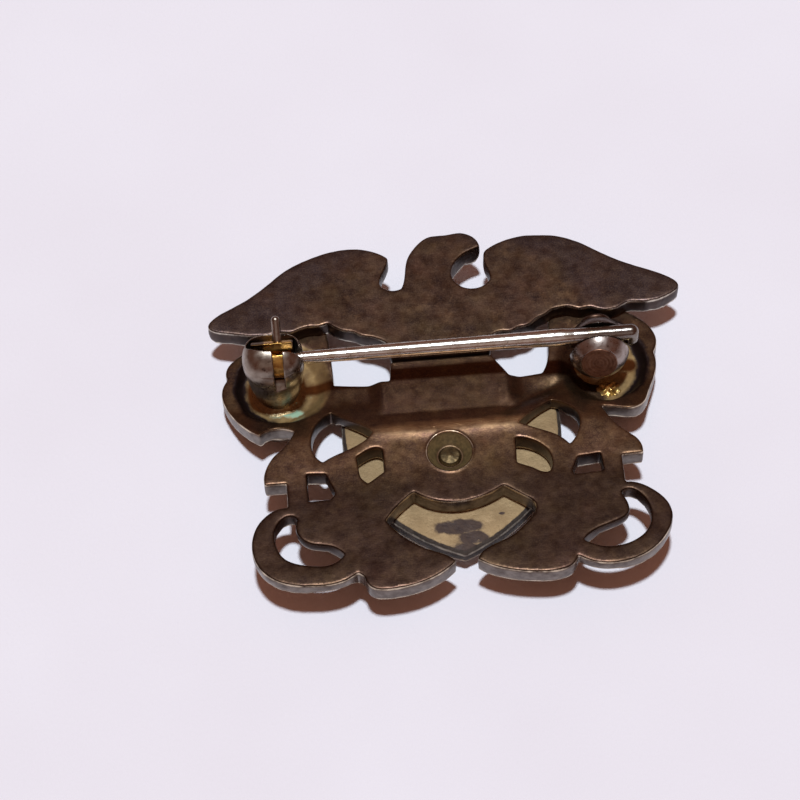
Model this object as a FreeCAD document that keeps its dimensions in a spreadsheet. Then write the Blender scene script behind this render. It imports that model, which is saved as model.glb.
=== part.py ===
import FreeCAD, Part
import os

from FreeCAD import Placement, Rotation, Vector
from Sketcher import Constraint

# Cap badge: an eagle over a shield on crossed anchors, with a hinged pin and a safety catch.
# It lies on its front with the pin side up: +X to the right, +Y towards the eagle's head, +Z out
# of the back. The floor is z = 0. Plan coordinates are drawn from the badge's own centre line, and
# every sub-part's Placement shifts them so that the origin is under the middle of the whole badge.

DIMENSIONS = {
    # plan position of the bounding box's centre
    "centre_x": 0.35,
    "centre_y": 5.15,
    # levels above the floor
    "back_plane": 4.2,
    "plate_front": 2.35,
    "loop_front": 3.0,
    "arm_back": 2.7,
    "arm_front": 1.7,
    "neck_back": 3.4,
    "boss_front": 1.0,
    "boss_floor": 2.0,
    # the plate bends down towards its front between these two lines
    "bend_start": 2.6,
    "bend_end": 6.4,
    "plate_reach": 16.0,
    "loop_inner": 8.9,
    "loop_top": -2.6,
    "shield_bay": 9.4,
    # rope bosses
    "boss_x": 14.2,
    "boss_y": 8.7,
    "boss_foot_radius": 3.9,
    "boss_nose_radius": 2.6,
    # eagle
    "wing_thickness": 1.5,
    "breast_depth": 2.6,
    "head_depth": 2.1,
    # shield
    "shield_dome_radius": 55.0,
    "shield_dome_y": 1.0,
    # centre rivet
    "rivet_x": -0.4,
    "rivet_y": 0.1,
    "rivet_shank_radius": 0.6,
    "rivet_head_radius": 1.0,
    "recess_floor": 3.3,
    "recess_floor_radius": 1.1,
    "recess_mouth_radius": 1.95,
    # pin and its ball joint
    "pin_line_y": 8.7,
    "pin_height": 6.9,
    "pin_radius": 0.5,
    "pin_root_radius": 0.66,
    "pin_root_length": 3.0,
    "pin_shank_start": 24.4,
    "pin_tail": 2.66,
    "pin_tail_drop": 1.0,
    "pin_taper_start": 26.4,
    "pin_length": 28.8,
    "pin_eye_radius": 1.15,
    "pin_eye_width": 1.24,
    "pin_eye_clearance": 0.04,
    "joint_x": 12.85,
    "joint_pivot_height": 5.9,
    "ball_height": 5.3,
    "ball_radius": 2.45,
    "ball_half_width": 2.0,
    "ball_slot": 1.44,
    "ball_foot_radius": 1.2,
    "ball_slot_floor": 2.6,
    "pivot_radius": 0.5,
    "pivot_head_radius": 1.33,
    "pivot_head_height": 0.16,
    # safety catch
    "catch_x": -14.38,
    "barrel_radius": 2.2,
    "barrel_half_length": 2.45,
    "barrel_bore": 1.65,
    "barrel_bore_half_length": 1.85,
    "foot_half_length": 2.05,
    "foot_half_width": 1.55,
    "foot_top": 0.6,
    "mouth_front_angle": 12.0,
    "mouth_rear_angle": 65.0,
    "lever_slot_end_angle": 150.0,
    "lever_slot_width": 0.92,
    "pin_entry_width": 1.2,
    "sleeve_radius": 1.58,
    "sleeve_half_length": 1.75,
    "sleeve_bore": 0.68,
    "sleeve_gap": 1.12,
    "lever_x": 0.45,
    "lever_radius": 0.38,
    "lever_root": 1.28,
    "lever_tip": 3.27,
    "lever_angle": 48.0,
    # solder fillets round the two feet
    "fillet_height": 0.5,
    "fillet_width": 0.65,
}

X_AXIS_UP = Rotation(Vector(0, 1, 0), 90)  # turns a primitive's own Z axis to +X
Y_AXIS_UP = Rotation(Vector(1, 0, 0), -90)  # turns it to +Y


def dim(name):
    return "Dims." + name


def make_sheet(doc):
    sheet = doc.addObject("Spreadsheet::Sheet", "Dims")
    for row, (alias, value) in enumerate(DIMENSIONS.items(), start=1):
        sheet.set(f"A{row}", alias)
        sheet.set(f"B{row}", str(value))
        sheet.setAlias(f"B{row}", alias)
    doc.recompute()


# ---- sketches and bodies ----


def place(obj, x="0", y="0", z="0"):
    """Bind where a sub-part's own origin lies, given from the badge's centre line and the floor."""
    obj.setExpression("Placement.Base.x", f"{x} - {dim('centre_x')}")
    obj.setExpression("Placement.Base.y", f"{y} - {dim('centre_y')}")
    obj.setExpression("Placement.Base.z", z)


def make_body(doc, label):
    body = doc.addObject("PartDesign::Body", label)
    body.Label = label
    place(body)
    return body


def make_sketch(body, name, role="XY_Plane", offset=None):
    sketch = body.newObject("Sketcher::SketchObject", name)
    plane = next(f for f in body.Origin.OriginFeatures if f.Role == role)
    sketch.AttachmentSupport = [(plane, "")]
    sketch.MapMode = "FlatFace"
    if offset:
        sketch.setExpression("AttachmentOffset.Base.z", offset)
    return sketch


def line(*points):
    return "line", points


def curve(*points):
    return "curve", points


def draw_loop(sketch, *runs):
    """Draw a closed loop of straight and smooth runs, each going on from where the last one ended."""
    end = runs[-1][1][-1]
    for kind, points in runs:
        corners = [Vector(x, y, 0) for x, y in (end, *points)]
        end = points[-1]
        if kind == "curve":
            spline = Part.BSplineCurve()
            spline.interpolate(corners)
            sketch.addGeometry(spline)
        else:
            for start, stop in zip(corners, corners[1:]):
                sketch.addGeometry(Part.LineSegment(start, stop))


def evaluate(doc, *expressions):
    return [float(doc.Dims.evalExpression(expression)) for expression in expressions]


def draw_bound_polygon(doc, sketch, corners):
    """Draw a polygon whose corners are pairs of expressions, each held by two dimensions."""
    count, first = len(corners), sketch.GeometryCount
    values = [evaluate(doc, *pair) for pair in corners]
    for i in range(count):
        start, stop = values[i], values[(i + 1) % count]
        sketch.addGeometry(Part.LineSegment(Vector(*start, 0), Vector(*stop, 0)))
    for i in range(count):
        sketch.addConstraint(Constraint("Coincident", first + i, 2, first + (i + 1) % count, 1))
    for i, pair in enumerate(corners):
        for kind, expression, value in zip(("DistanceX", "DistanceY"), pair, values[i]):
            index = sketch.addConstraint(Constraint(kind, -1, 1, first + i, 1, value))
            sketch.setExpression(f"Constraints[{index}]", expression)


def draw_ellipse(sketch, x, y, half_width, half_height):
    """Draw an ellipse along the sketch's axes, whichever half is the longer."""
    if half_width > half_height:
        ends = Vector(x + half_width, y, 0), Vector(x, y + half_height, 0)
    else:
        ends = Vector(x, y + half_height, 0), Vector(x - half_width, y, 0)
    sketch.addGeometry(Part.Ellipse(*ends, Vector(x, y, 0)))


def add_pad(body, sketch, length):
    pad = body.newObject("PartDesign::Pad", sketch.Name + "_pad")
    pad.Profile = sketch
    pad.setExpression("Length", length)
    sketch.Document.recompute()
    return pad


def add_pocket(body, sketch, length, symmetric=False, up=False):
    pocket = body.newObject("PartDesign::Pocket", sketch.Name + "_pocket")
    pocket.Profile = sketch
    pocket.setExpression("Length", length)
    pocket.SideType = "Symmetric" if symmetric else "One side"
    pocket.Reversed = up
    before = body.Shape.Volume
    sketch.Document.recompute()
    if body.Shape.Volume > before - 1e-3:
        raise RuntimeError(f"{pocket.Name} removed nothing")
    return pocket


# ---- Part primitives ----


def primitive(doc, kind, name, sizes, base=("0", "0", "0"), rotation=Rotation()):
    """A Part primitive whose sizes and place are expressions of the sheet."""
    obj = doc.addObject("Part::" + kind, name)
    obj.Placement = Placement(Vector(), rotation)
    for size, expression in sizes.items():
        obj.setExpression(size, expression)
    for axis, expression in zip("xyz", base):
        obj.setExpression("Placement.Base." + axis, expression)
    return obj


def combine(doc, kind, name, first, *others):
    """A boolean of two or more objects: Cut takes the others away from the first, one by one."""
    if kind == "MultiFuse":
        obj = doc.addObject("Part::MultiFuse", name)
        obj.Shapes = [first, *others]
        return obj
    result = first
    for i, other in enumerate(others, start=1):
        last = i == len(others)
        obj = doc.addObject("Part::" + kind, name if last else f"{name}_step{i}")
        obj.Base, obj.Tool = result, other
        result = obj
    return result


# ---- outlines, in plan from the badge's centre line ----

EAGLE = (
    curve((-19.3, 15.1), (-17, 16.6), (-15, 18.2), (-13, 19.9), (-11, 20.9), (-9, 21.5), (-7.5, 21.65),
          (-5.6, 21.25), (-4.15, 20.3)),
    curve((-4.6, 19.0), (-5.0, 17.5), (-4.5, 17.0)),
    curve((-3.8, 16.8), (-3.2, 16.95)),
    curve((-2.85, 18.0), (-2.5, 20.0), (-1.7, 21.3), (-0.4, 22.3), (1.0, 22.35), (2.4, 22.5),
          (3.5, 21.9), (3.95, 20.85)),
    curve((3.2, 20.55), (2.2, 20.0), (1.35, 18.8), (1.25, 17.8), (2.0, 16.7), (3.3, 16.4), (4.55, 17.3),
          (4.35, 18.5), (4.15, 19.6), (4.3, 20.35)),
    curve((5.2, 20.9), (7.5, 21.6), (9, 21.6), (11, 21.25), (13, 20.2), (15, 18.7), (17, 17.4),
          (19, 16.3), (20.6, 15.0)),
    line((19.5, 14.3), (18.2, 13.75), (17.3, 13.6), (16.3, 13.75), (15.8, 13.7), (15, 13.2),
         (14.3, 13.05), (13.5, 13.2), (12.8, 13.55), (11.8, 13.35), (10.9, 13.8), (9.5, 13.6),
         (8.9, 13.1), (8.1, 12.8), (7.6, 12.3), (7.1, 12.05), (6.5, 12.05), (5.9, 11.65), (4.8, 11.75),
         (4.2, 11.5)),
    curve((3.85, 10.8), (3.9, 10.05)),
    line((-4.6, 10.05)),
    curve((-4.7, 10.9), (-5.0, 11.6)),
    line((-6, 12.15), (-7, 12.35), (-7.6, 12.85), (-8.5, 13.0), (-9.3, 13.5), (-9.7, 13.9),
         (-10.5, 13.65), (-11.3, 13.75), (-12, 13.6), (-12.9, 13.2), (-13.9, 13.4), (-14.8, 13.1),
         (-16.3, 13.2), (-17, 13.4), (-18, 13.65), (-19.6, 14.0), (-19.9, 14.4)),
)

ANCHORS = (
    # under the eagle and along the right arm to its boss
    line((-4.5, 10.9), (3.6, 10.9), (3.95, 9.8), (5.25, 7.8), (8.1, 8.1)),
    curve((8.7, 9.4), (9.0, 11.5), (9.6, 14.6)),
    line((14.6, 14.6)),
    # the right boss's scalloped rim
    curve((16.3, 13.5), (17.5, 12.4), (18.15, 11.0), (17.75, 9.4)),
    curve((17.85, 8.3), (17.4, 6.7), (16.5, 4.9), (15.1, 3.2)),
    curve((13.8, 3.5), (12.6, 3.7)),
    # the right fluke
    curve((12.9, 2.7), (13.8, 1.3), (14.9, 0.25)),
    curve((15.35, -0.5), (15.4, -1.4)),
    line((13.6, -1.45), (13.6, -4.05)),
    # the right loop
    curve((14.6, -4.2), (15.5, -4.75), (16.6, -5.9), (17.0, -7.3), (16.5, -8.8), (15.3, -10.2),
          (13.3, -11.2), (11.3, -11.4), (9.0, -10.5)),
    # the right blade
    curve((8.6, -11.2), (7.8, -11.6), (6.0, -11.7), (4, -11.4), (2.4, -10.9), (1.0, -10.1)),
    # the lens-shaped hole, which opens between the blades
    curve((1.15, -9.75), (3.5, -8.4), (5.5, -6.8), (6.1, -5.9), (6.0, -5.1)),
    curve((4.6, -4.1), (3.7, -3.45)),
    curve((2, -4.3), (0, -4.7), (-2, -4.4), (-3.65, -3.45)),
    curve((-4.7, -4.3), (-6.1, -5.9)),
    curve((-5, -7.3), (-3, -8.8), (-1, -9.85), (-0.75, -10.15)),
    # the left blade
    curve((-2, -11.1), (-4, -11.9), (-6, -12.2), (-7.5, -12.0), (-8.1, -10.9)),
    line((-8.6, -10.5)),
    # the left loop
    curve((-10.3, -11.3), (-12.2, -11.4), (-14.7, -10.9), (-16.4, -9.5), (-17.0, -7.6), (-16.6, -5.7),
          (-15.3, -4.3), (-13.95, -4.0)),
    line((-13.95, -1.75), (-15.75, -1.75)),
    # the left fluke
    curve((-15.7, -0.5), (-15.3, 0.4), (-14.8, 1.1)),
    curve((-13.7, 2.2), (-13.1, 3.5)),
    # the left boss's scalloped rim
    curve((-14.5, 4.0), (-16.0, 3.3)),
    curve((-17.3, 4.5), (-18.5, 6.4), (-19.1, 8.0), (-18.6, 9.9)),
    curve((-18.7, 10.8), (-17.9, 11.9), (-16.5, 12.8), (-14.0, 14.6)),
    # under the wing and along the left arm
    line((-10.0, 14.6)),
    curve((-9.7, 11.5), (-9.6, 8.5)),
    curve((-8.4, 8.33), (-6.6, 8.15), (-4.85, 8.05)),
)

# The plate's neck stands higher than its arms, from the bend to the eagle's lower edge.
NECK = (
    line((-5.9, 4.7), (5.3, 4.7), (5.25, 7.8), (3.95, 9.8), (3.9, 10.0), (-4.6, 10.0), (-4.85, 8.05),
         (-5.9, 7.4)),
)

ANCHOR_WINDOWS = (
    # upper windows
    (
        curve((-9.2, 4.8), (-8.4, 4.25), (-7, 3.15), (-6.6, 2.6)),
        curve((-7.5, 1.7), (-9.2, 0.9), (-10.9, 0.05)),
        curve((-11.7, 1.3), (-11.7, 2.6), (-11.0, 4.6), (-10.0, 5.5)),
    ),
    (
        curve((7.0, 3.95), (5.5, 2.45)),
        curve((6.6, 1.9), (8.2, 1.2), (9.5, 0.0)),
        curve((10.2, 0.9), (10.5, 3.1), (10.0, 4.0), (8.5, 4.95)),
    ),
    # middle windows
    (
        curve((-7.3, 0.8), (-6.4, 1.05), (-5.9, 0.8)),
        line((-5.9, -1.3), (-7.3, -2.3), (-7.9, -1.7), (-8.1, 0.3)),
    ),
    (
        curve((6.1, 0.8), (7.4, -0.1), (7.9, -1.5)),
        curve((7.6, -2.45), (6.3, -2.0)),
        line((5.0, -1.4), (5.1, 1.0)),
    ),
    # outer windows
    (line((-10.7, -1.1), (-10.0, -3.0), (-10.4, -3.55), (-12.2, -3.6), (-12.3, -1.0)),),
    (line((11.9, -1.1), (12.0, -2.8), (9.7, -2.95), (9.4, -2.6), (10.0, -1.3)),),
    # the loops' holes, each a crescent round a tongue
    (
        curve((-15.0, -5.8), (-15.1, -7.2), (-14.4, -8.7), (-12.5, -9.5), (-10.5, -9.5), (-9.6, -8.75)),
        curve((-11.0, -7.8), (-12.6, -7.35), (-13.25, -6.6), (-13.2, -5.2)),
        curve((-13.6, -4.85), (-14.2, -4.9)),
    ),
    (
        curve((14.9, -5.6), (15.3, -7.0), (14.8, -8.6), (13.3, -9.65), (11.0, -9.8), (9.6, -9.1)),
        curve((10.4, -8.4), (12.0, -7.75), (13.1, -7.3), (13.1, -5.0)),
        curve((13.6, -4.7), (14.3, -4.9)),
    ),
)

# The bosses are dished from behind: centre x and y, and half the width and height of each dish.
BOSS_DISHES = ((-14.0, 8.9, 3.7, 4.1), (13.2, 8.7, 3.45, 4.1))

SHIELD = (
    curve((0.0, 8.15), (9.0, 7.7)),
    curve((9.2, 4.0), (8.5, -0.6), (6.9, -3.4), (3.2, -6.9), (0.1, -8.6)),
    curve((-3.1, -6.9), (-6.9, -3.4), (-8.5, -0.6), (-9.2, 4.0), (-9.0, 7.7)),
)

# Swellings on the eagle's front: centre x and y, half the width and height, and the depth of each.
EAGLE_SWELLINGS = (
    ("breast", -0.2, 14.4, 2.6, 3.4, "breast_depth"),
    ("head", 0.4, 20.6, 2.0, 1.6, "head_depth"),
)


# ---- sub-parts ----


def make_eagle(doc):
    body = make_body(doc, "eagle")
    outline = make_sketch(body, "eagle_outline", offset=dim("arm_back"))
    draw_loop(outline, *EAGLE)
    add_pad(body, outline, dim("wing_thickness"))
    for name, x, y, half_width, half_height, depth in EAGLE_SWELLINGS:
        swelling = body.newObject("PartDesign::AdditiveEllipsoid", name)
        swelling.Radius2, swelling.Radius3 = half_width, half_height
        swelling.setExpression("Radius1", dim(depth))
        swelling.Angle2 = 0
        swelling.Placement.Base = Vector(x, y, 0)
        swelling.setExpression("Placement.Base.z", dim("arm_back"))
    return body


def make_anchors_plate(doc):
    body = make_body(doc, "anchors_plate")
    outline = make_sketch(body, "anchors_outline", offset=dim("boss_front"))
    draw_loop(outline, *ANCHORS)
    for window in ANCHOR_WINDOWS:
        draw_loop(outline, *window)
    add_pad(body, outline, "Dims.back_plane - Dims.boss_front")

    reach, span = "Dims.plate_reach", "Dims.plate_reach * 3"
    over = "Dims.back_plane + 1"
    back_bend = make_sketch(body, "back_bend", "YZ_Plane")
    draw_bound_polygon(doc, back_bend, (
        (dim("bend_start"), dim("back_plane")), (dim("bend_end"), dim("arm_back")),
        (reach, dim("arm_back")), (reach, over), (dim("bend_start"), over)))
    add_pocket(body, back_bend, span, symmetric=True)

    neck = make_sketch(body, "neck_outline", offset="Dims.arm_back - 0.4")
    draw_loop(neck, *NECK)
    add_pad(body, neck, "Dims.neck_back - Dims.arm_back + 0.4")

    under = "Dims.boss_front - 1"
    front_bend = make_sketch(body, "front_bend", "YZ_Plane")
    draw_bound_polygon(doc, front_bend, (
        ("-" + reach, dim("plate_front")), (dim("bend_start"), dim("plate_front")),
        (dim("bend_end"), dim("boss_front")), (dim("bend_end"), under), ("-" + reach, under)))
    add_pocket(body, front_bend, span, symmetric=True)

    shield_bay = make_sketch(body, "shield_bay", "YZ_Plane")
    draw_bound_polygon(doc, shield_bay, (
        (dim("bend_start"), dim("plate_front")), (dim("bend_end"), dim("arm_front")),
        (reach, dim("arm_front")), (reach, under), (dim("bend_start"), under)))
    add_pocket(body, shield_bay, "Dims.shield_bay * 2", symmetric=True)

    thin_loops = make_sketch(body, "thin_loops", offset=dim("loop_front"))
    for inner, outer in (("Dims.loop_inner", reach + " + 2"), (f"-{reach} - 2", "-Dims.loop_inner")):
        low, high = "-" + reach, dim("loop_top")
        draw_bound_polygon(doc, thin_loops, ((inner, low), (outer, low), (outer, high), (inner, high)))
    add_pocket(body, thin_loops, dim("loop_front"))

    dishes = make_sketch(body, "boss_dishes", offset=dim("boss_floor"))
    for dish in BOSS_DISHES:
        draw_ellipse(dishes, *dish)
    add_pocket(body, dishes, dim("back_plane"), up=True)

    for name, side in (("left_boss", "-"), ("right_boss", "")):
        boss = body.newObject("PartDesign::AdditiveCone", name)
        boss.setExpression("Radius1", dim("boss_nose_radius"))
        boss.setExpression("Radius2", dim("boss_foot_radius"))
        boss.setExpression("Height", dim("boss_front"))
        boss.setExpression("Placement.Base.x", side + dim("boss_x"))
        boss.setExpression("Placement.Base.y", dim("boss_y"))

    recess = body.newObject("PartDesign::SubtractiveCone", "rivet_recess")
    recess.setExpression("Radius1", dim("recess_floor_radius"))
    recess.setExpression("Radius2", dim("recess_mouth_radius"))
    recess.setExpression("Height", "Dims.back_plane - Dims.recess_floor")
    recess.setExpression("Placement.Base.z", dim("recess_floor"))
    bore = body.newObject("PartDesign::SubtractiveCylinder", "rivet_bore")
    bore.setExpression("Radius", dim("rivet_shank_radius"))
    bore.setExpression("Height", dim("back_plane"))
    for hole in (recess, bore):
        hole.setExpression("Placement.Base.x", dim("rivet_x"))
        hole.setExpression("Placement.Base.y", dim("rivet_y"))
    return body


def make_shield(doc):
    blank = make_body(doc, "shield_blank")
    outline = make_sketch(blank, "shield_outline")
    draw_loop(outline, *SHIELD)
    add_pad(blank, outline, dim("plate_front"))
    bend = make_sketch(blank, "shield_bend", "YZ_Plane")
    reach, over = dim("plate_reach"), "Dims.plate_front + 1"
    draw_bound_polygon(doc, bend, (
        (dim("bend_start"), dim("plate_front")), (dim("bend_end"), dim("arm_front")),
        (reach, dim("arm_front")), (reach, over), (dim("bend_start"), over)))
    add_pocket(blank, bend, "Dims.plate_reach * 2", symmetric=True)
    dome = primitive(doc, "Sphere", "shield_dome", {"Radius": dim("shield_dome_radius")},
                     ("-Dims.centre_x", "Dims.shield_dome_y - Dims.centre_y", dim("shield_dome_radius")))
    return combine(doc, "Common", "shield", blank, dome)


def make_centre_rivet(doc):
    body = make_body(doc, "centre_rivet")
    place(body, dim("rivet_x"), dim("rivet_y"))
    profile = make_sketch(body, "rivet_profile", "XZ_Plane")
    shank, head = dim("rivet_shank_radius"), dim("rivet_head_radius")
    draw_bound_polygon(doc, profile, (
        ("0", dim("plate_front")), (shank, dim("plate_front")), (shank, dim("recess_floor")),
        (head, dim("recess_floor")), (head + " * 0.8", "Dims.recess_floor + 0.3"),
        ("0", "Dims.recess_floor + 0.4")))
    turned = body.newObject("PartDesign::Revolution", "rivet_turned")
    turned.Profile = profile
    turned.ReferenceAxis = (profile, ["V_Axis"])
    return body


def make_joint_ball(doc):
    """A slotted ball on a short foot, flattened where the rivet's heads sit."""
    drop = "Dims.ball_height - Dims.boss_floor"
    ball = primitive(doc, "Sphere", "ball", {"Radius": dim("ball_radius")})
    band = primitive(doc, "Box", "ball_band", {
        "Length": "Dims.ball_radius * 4",
        "Width": "Dims.ball_half_width * 2",
        "Height": "Dims.ball_radius * 4",
    }, ("-Dims.ball_radius * 2", "-Dims.ball_half_width", "-Dims.ball_radius * 2"))
    foot = primitive(doc, "Cylinder", "ball_foot", {
        "Radius": dim("ball_foot_radius"), "Height": drop,
    }, ("0", "0", f"-({drop})"))
    slot = primitive(doc, "Box", "ball_slot", {
        "Length": "Dims.ball_radius * 4", "Width": dim("ball_slot"), "Height": "Dims.ball_radius * 3",
    }, ("-Dims.ball_radius * 2", "-Dims.ball_slot / 2", "Dims.ball_slot_floor - Dims.ball_height"))
    bore = primitive(doc, "Cylinder", "pivot_bore", {
        "Radius": dim("pivot_radius"), "Height": "Dims.ball_radius * 4",
    }, ("0", "-Dims.ball_radius * 2", "Dims.joint_pivot_height - Dims.ball_height"), Y_AXIS_UP)
    cheeks = combine(doc, "Common", "ball_cheeks", ball, band)
    lump = combine(doc, "MultiFuse", "ball_lump", cheeks, foot)
    part = combine(doc, "Cut", "joint_ball", lump, slot, bore)
    place(part, dim("joint_x"), dim("pin_line_y"), dim("ball_height"))
    return part


def make_joint_rivet(doc):
    reach = "Dims.ball_half_width"
    shank = primitive(doc, "Cylinder", "pivot_shank", {
        "Radius": dim("pivot_radius"), "Height": reach + " * 2",
    }, ("0", "-" + reach, "0"), Y_AXIS_UP)
    heads = []
    for name, side, rotation in (("front", "-", Rotation(Vector(1, 0, 0), 90)), ("rear", "", Y_AXIS_UP)):
        heads.append(primitive(doc, "Cone", f"pivot_{name}_head", {
            "Radius1": dim("pivot_head_radius"), "Radius2": "Dims.pivot_head_radius * 0.8",
            "Height": dim("pivot_head_height"),
        }, ("0", side + reach, "0"), rotation))
    part = combine(doc, "MultiFuse", "joint_rivet", shank, *heads)
    place(part, dim("joint_x"), dim("pin_line_y"), dim("joint_pivot_height"))
    return part


def make_pin_stem(doc):
    """A round pin that thins towards its point, with an eye for the joint's rivet, and a tail that
    turns down."""
    rise = "Dims.pin_height - Dims.joint_pivot_height"
    to_left = Rotation(Vector(0, 1, 0), -90)
    root = primitive(doc, "Cylinder", "stem_root", {
        "Radius": dim("pin_root_radius"), "Height": "Dims.pin_tail + Dims.pin_root_length",
    }, (dim("pin_tail"), "0", rise), to_left)
    stem = primitive(doc, "Cone", "stem", {
        "Radius1": dim("pin_root_radius"), "Radius2": dim("pin_radius"),
        "Height": "Dims.pin_shank_start - Dims.pin_root_length",
    }, ("-Dims.pin_root_length", "0", rise), to_left)
    shank = primitive(doc, "Cylinder", "stem_shank", {
        "Radius": dim("pin_radius"), "Height": "Dims.pin_taper_start - Dims.pin_shank_start",
    }, ("-Dims.pin_shank_start", "0", rise), to_left)
    point = primitive(doc, "Cone", "stem_point", {
        "Radius1": dim("pin_radius"), "Radius2": "Dims.pin_radius / 8",
        "Height": "Dims.pin_length - Dims.pin_taper_start",
    }, ("-Dims.pin_taper_start", "0", rise), to_left)
    elbow = primitive(doc, "Sphere", "stem_elbow", {
        "Radius": dim("pin_root_radius"),
    }, (dim("pin_tail"), "0", rise))
    tail = primitive(doc, "Cylinder", "stem_tail", {
        "Radius": dim("pin_root_radius"), "Height": dim("pin_tail_drop"),
    }, (dim("pin_tail"), "0", rise + " - Dims.pin_tail_drop"))
    eye = primitive(doc, "Cylinder", "stem_eye", {
        "Radius": dim("pin_eye_radius"), "Height": dim("pin_eye_width"),
    }, ("0", "-Dims.pin_eye_width / 2", "0"), Y_AXIS_UP)
    bore = primitive(doc, "Cylinder", "stem_bore", {
        "Radius": "Dims.pivot_radius + Dims.pin_eye_clearance", "Height": "Dims.pin_eye_width * 2",
    }, ("0", "-Dims.pin_eye_width", "0"), Y_AXIS_UP)
    solid = combine(doc, "MultiFuse", "stem_solid", root, stem, shank, point, elbow, tail, eye)
    part = combine(doc, "Cut", "pin_stem", solid, bore)
    place(part, dim("joint_x"), dim("pin_line_y"), dim("joint_pivot_height"))
    return part


def make_catch_housing(doc):
    """A barrel on a foot, bored for the sleeve, with a mouth on top and a lever slot down the front."""
    body = make_body(doc, "catch_housing")
    place(body, dim("catch_x"), dim("pin_line_y"), dim("pin_height"))
    r, half = DIMENSIONS["barrel_radius"], DIMENSIONS["barrel_half_length"]
    profile = make_sketch(body, "barrel_profile", "XZ_Plane")
    draw_loop(profile, line((-half, r * 0.5)), curve((-half * 0.92, r * 0.76), (-half * 0.55, r)),
              line((half * 0.55, r)), curve((half * 0.92, r * 0.76), (half, r * 0.5)),
              line((half, 0), (-half, 0)))
    barrel = body.newObject("PartDesign::Revolution", "barrel")
    barrel.Profile = profile
    barrel.ReferenceAxis = (profile, ["H_Axis"])
    doc.recompute()

    foot_base = make_sketch(body, "foot_base", offset="Dims.boss_floor - Dims.pin_height")
    draw_ellipse(foot_base, 0, 0, DIMENSIONS["foot_half_length"], DIMENSIONS["foot_half_width"])
    foot_top = make_sketch(body, "foot_top", offset="-Dims.foot_top")
    draw_ellipse(foot_top, 0, 0, half * 0.95, r * 0.96)
    foot = body.newObject("PartDesign::AdditiveLoft", "foot")
    foot.Profile = foot_base
    foot.Sections = [foot_top]
    doc.recompute()

    bore = body.newObject("PartDesign::SubtractiveCylinder", "barrel_bore")
    bore.Placement.Rotation = X_AXIS_UP
    bore.setExpression("Radius", dim("barrel_bore"))
    bore.setExpression("Height", "Dims.barrel_bore_half_length * 2")
    bore.setExpression("Placement.Base.x", "-Dims.barrel_bore_half_length")

    # Wedges about the barrel's axis. Angles are from straight up, positive towards the eagle's head.
    wedges = (
        ("mouth", "0", dim("barrel_bore_half_length"), "-Dims.mouth_front_angle", dim("mouth_rear_angle")),
        ("lever_slot", dim("lever_x"), "Dims.lever_slot_width / 2", "-Dims.lever_slot_end_angle", "0"),
    )
    for name, middle, half_width, front, rear in wedges:
        wedge = body.newObject("PartDesign::SubtractiveCylinder", name)
        wedge.setExpression("Radius", "Dims.barrel_radius * 2")
        wedge.setExpression("Height", f"{half_width} * 2")
        wedge.setExpression("Angle", f"({rear}) - ({front})")
        wedge.Placement.Rotation = Rotation(Vector(1, 0, 0), -evaluate(doc, rear)[0]).multiply(
            Rotation(Vector(0, 0, 1), Vector(0, 1, 0), Vector(1, 0, 0), "XZY"))
        wedge.setExpression("Placement.Base.x", f"{middle} - {half_width}")

    entry = body.newObject("PartDesign::SubtractiveBox", "pin_entry")
    entry.setExpression("Length", "Dims.barrel_half_length * 2")
    entry.setExpression("Width", dim("pin_entry_width"))
    entry.setExpression("Height", "Dims.barrel_radius * 2")
    entry.setExpression("Placement.Base.y", "-Dims.pin_entry_width / 2")
    entry.setExpression("Placement.Base.z", "-Dims.pin_entry_width / 2")
    return body


def make_catch_sleeve(doc):
    """A thick sleeve with a gap for the pin and a socket for the lever."""
    half = "Dims.sleeve_half_length"
    drum = primitive(doc, "Cylinder", "sleeve_drum", {
        "Radius": dim("sleeve_radius"), "Height": half + " * 2"}, ("-" + half, "0", "0"), X_AXIS_UP)
    bore = primitive(doc, "Cylinder", "sleeve_bore", {
        "Radius": dim("sleeve_bore"), "Height": half + " * 4"}, (f"-{half} * 2", "0", "0"), X_AXIS_UP)
    gap = primitive(doc, "Box", "sleeve_gap", {
        "Length": half + " * 4", "Width": dim("sleeve_gap"), "Height": "Dims.sleeve_radius * 2",
    }, (f"-{half} * 2", "-Dims.sleeve_gap / 2", "0"))
    socket = lever_rod(doc, "sleeve_socket")
    part = combine(doc, "Cut", "catch_sleeve", drum, bore, gap, socket)
    place(part, dim("catch_x"), dim("pin_line_y"), dim("pin_height"))
    return part


def lever_rod(doc, name):
    """The lever's rod, leaning back from the sleeve's axis."""
    rod = primitive(doc, "Cylinder", name, {
        "Radius": dim("lever_radius"), "Height": "Dims.lever_tip - Dims.lever_root",
    }, (dim("lever_x"), "Dims.lever_root * sin(Dims.lever_angle * 1deg)",
        "Dims.lever_root * cos(Dims.lever_angle * 1deg)"),
        Rotation(Vector(1, 0, 0), -DIMENSIONS["lever_angle"]))
    return rod


def make_catch_lever(doc):
    rod = lever_rod(doc, "lever_rod")
    tip = primitive(doc, "Sphere", "lever_end", {"Radius": dim("lever_radius")}, (
        dim("lever_x"), "Dims.lever_tip * sin(Dims.lever_angle * 1deg)",
        "Dims.lever_tip * cos(Dims.lever_angle * 1deg)"))
    part = combine(doc, "MultiFuse", "catch_lever", rod, tip)
    place(part, dim("catch_x"), dim("pin_line_y"), dim("pin_height"))
    return part


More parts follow.
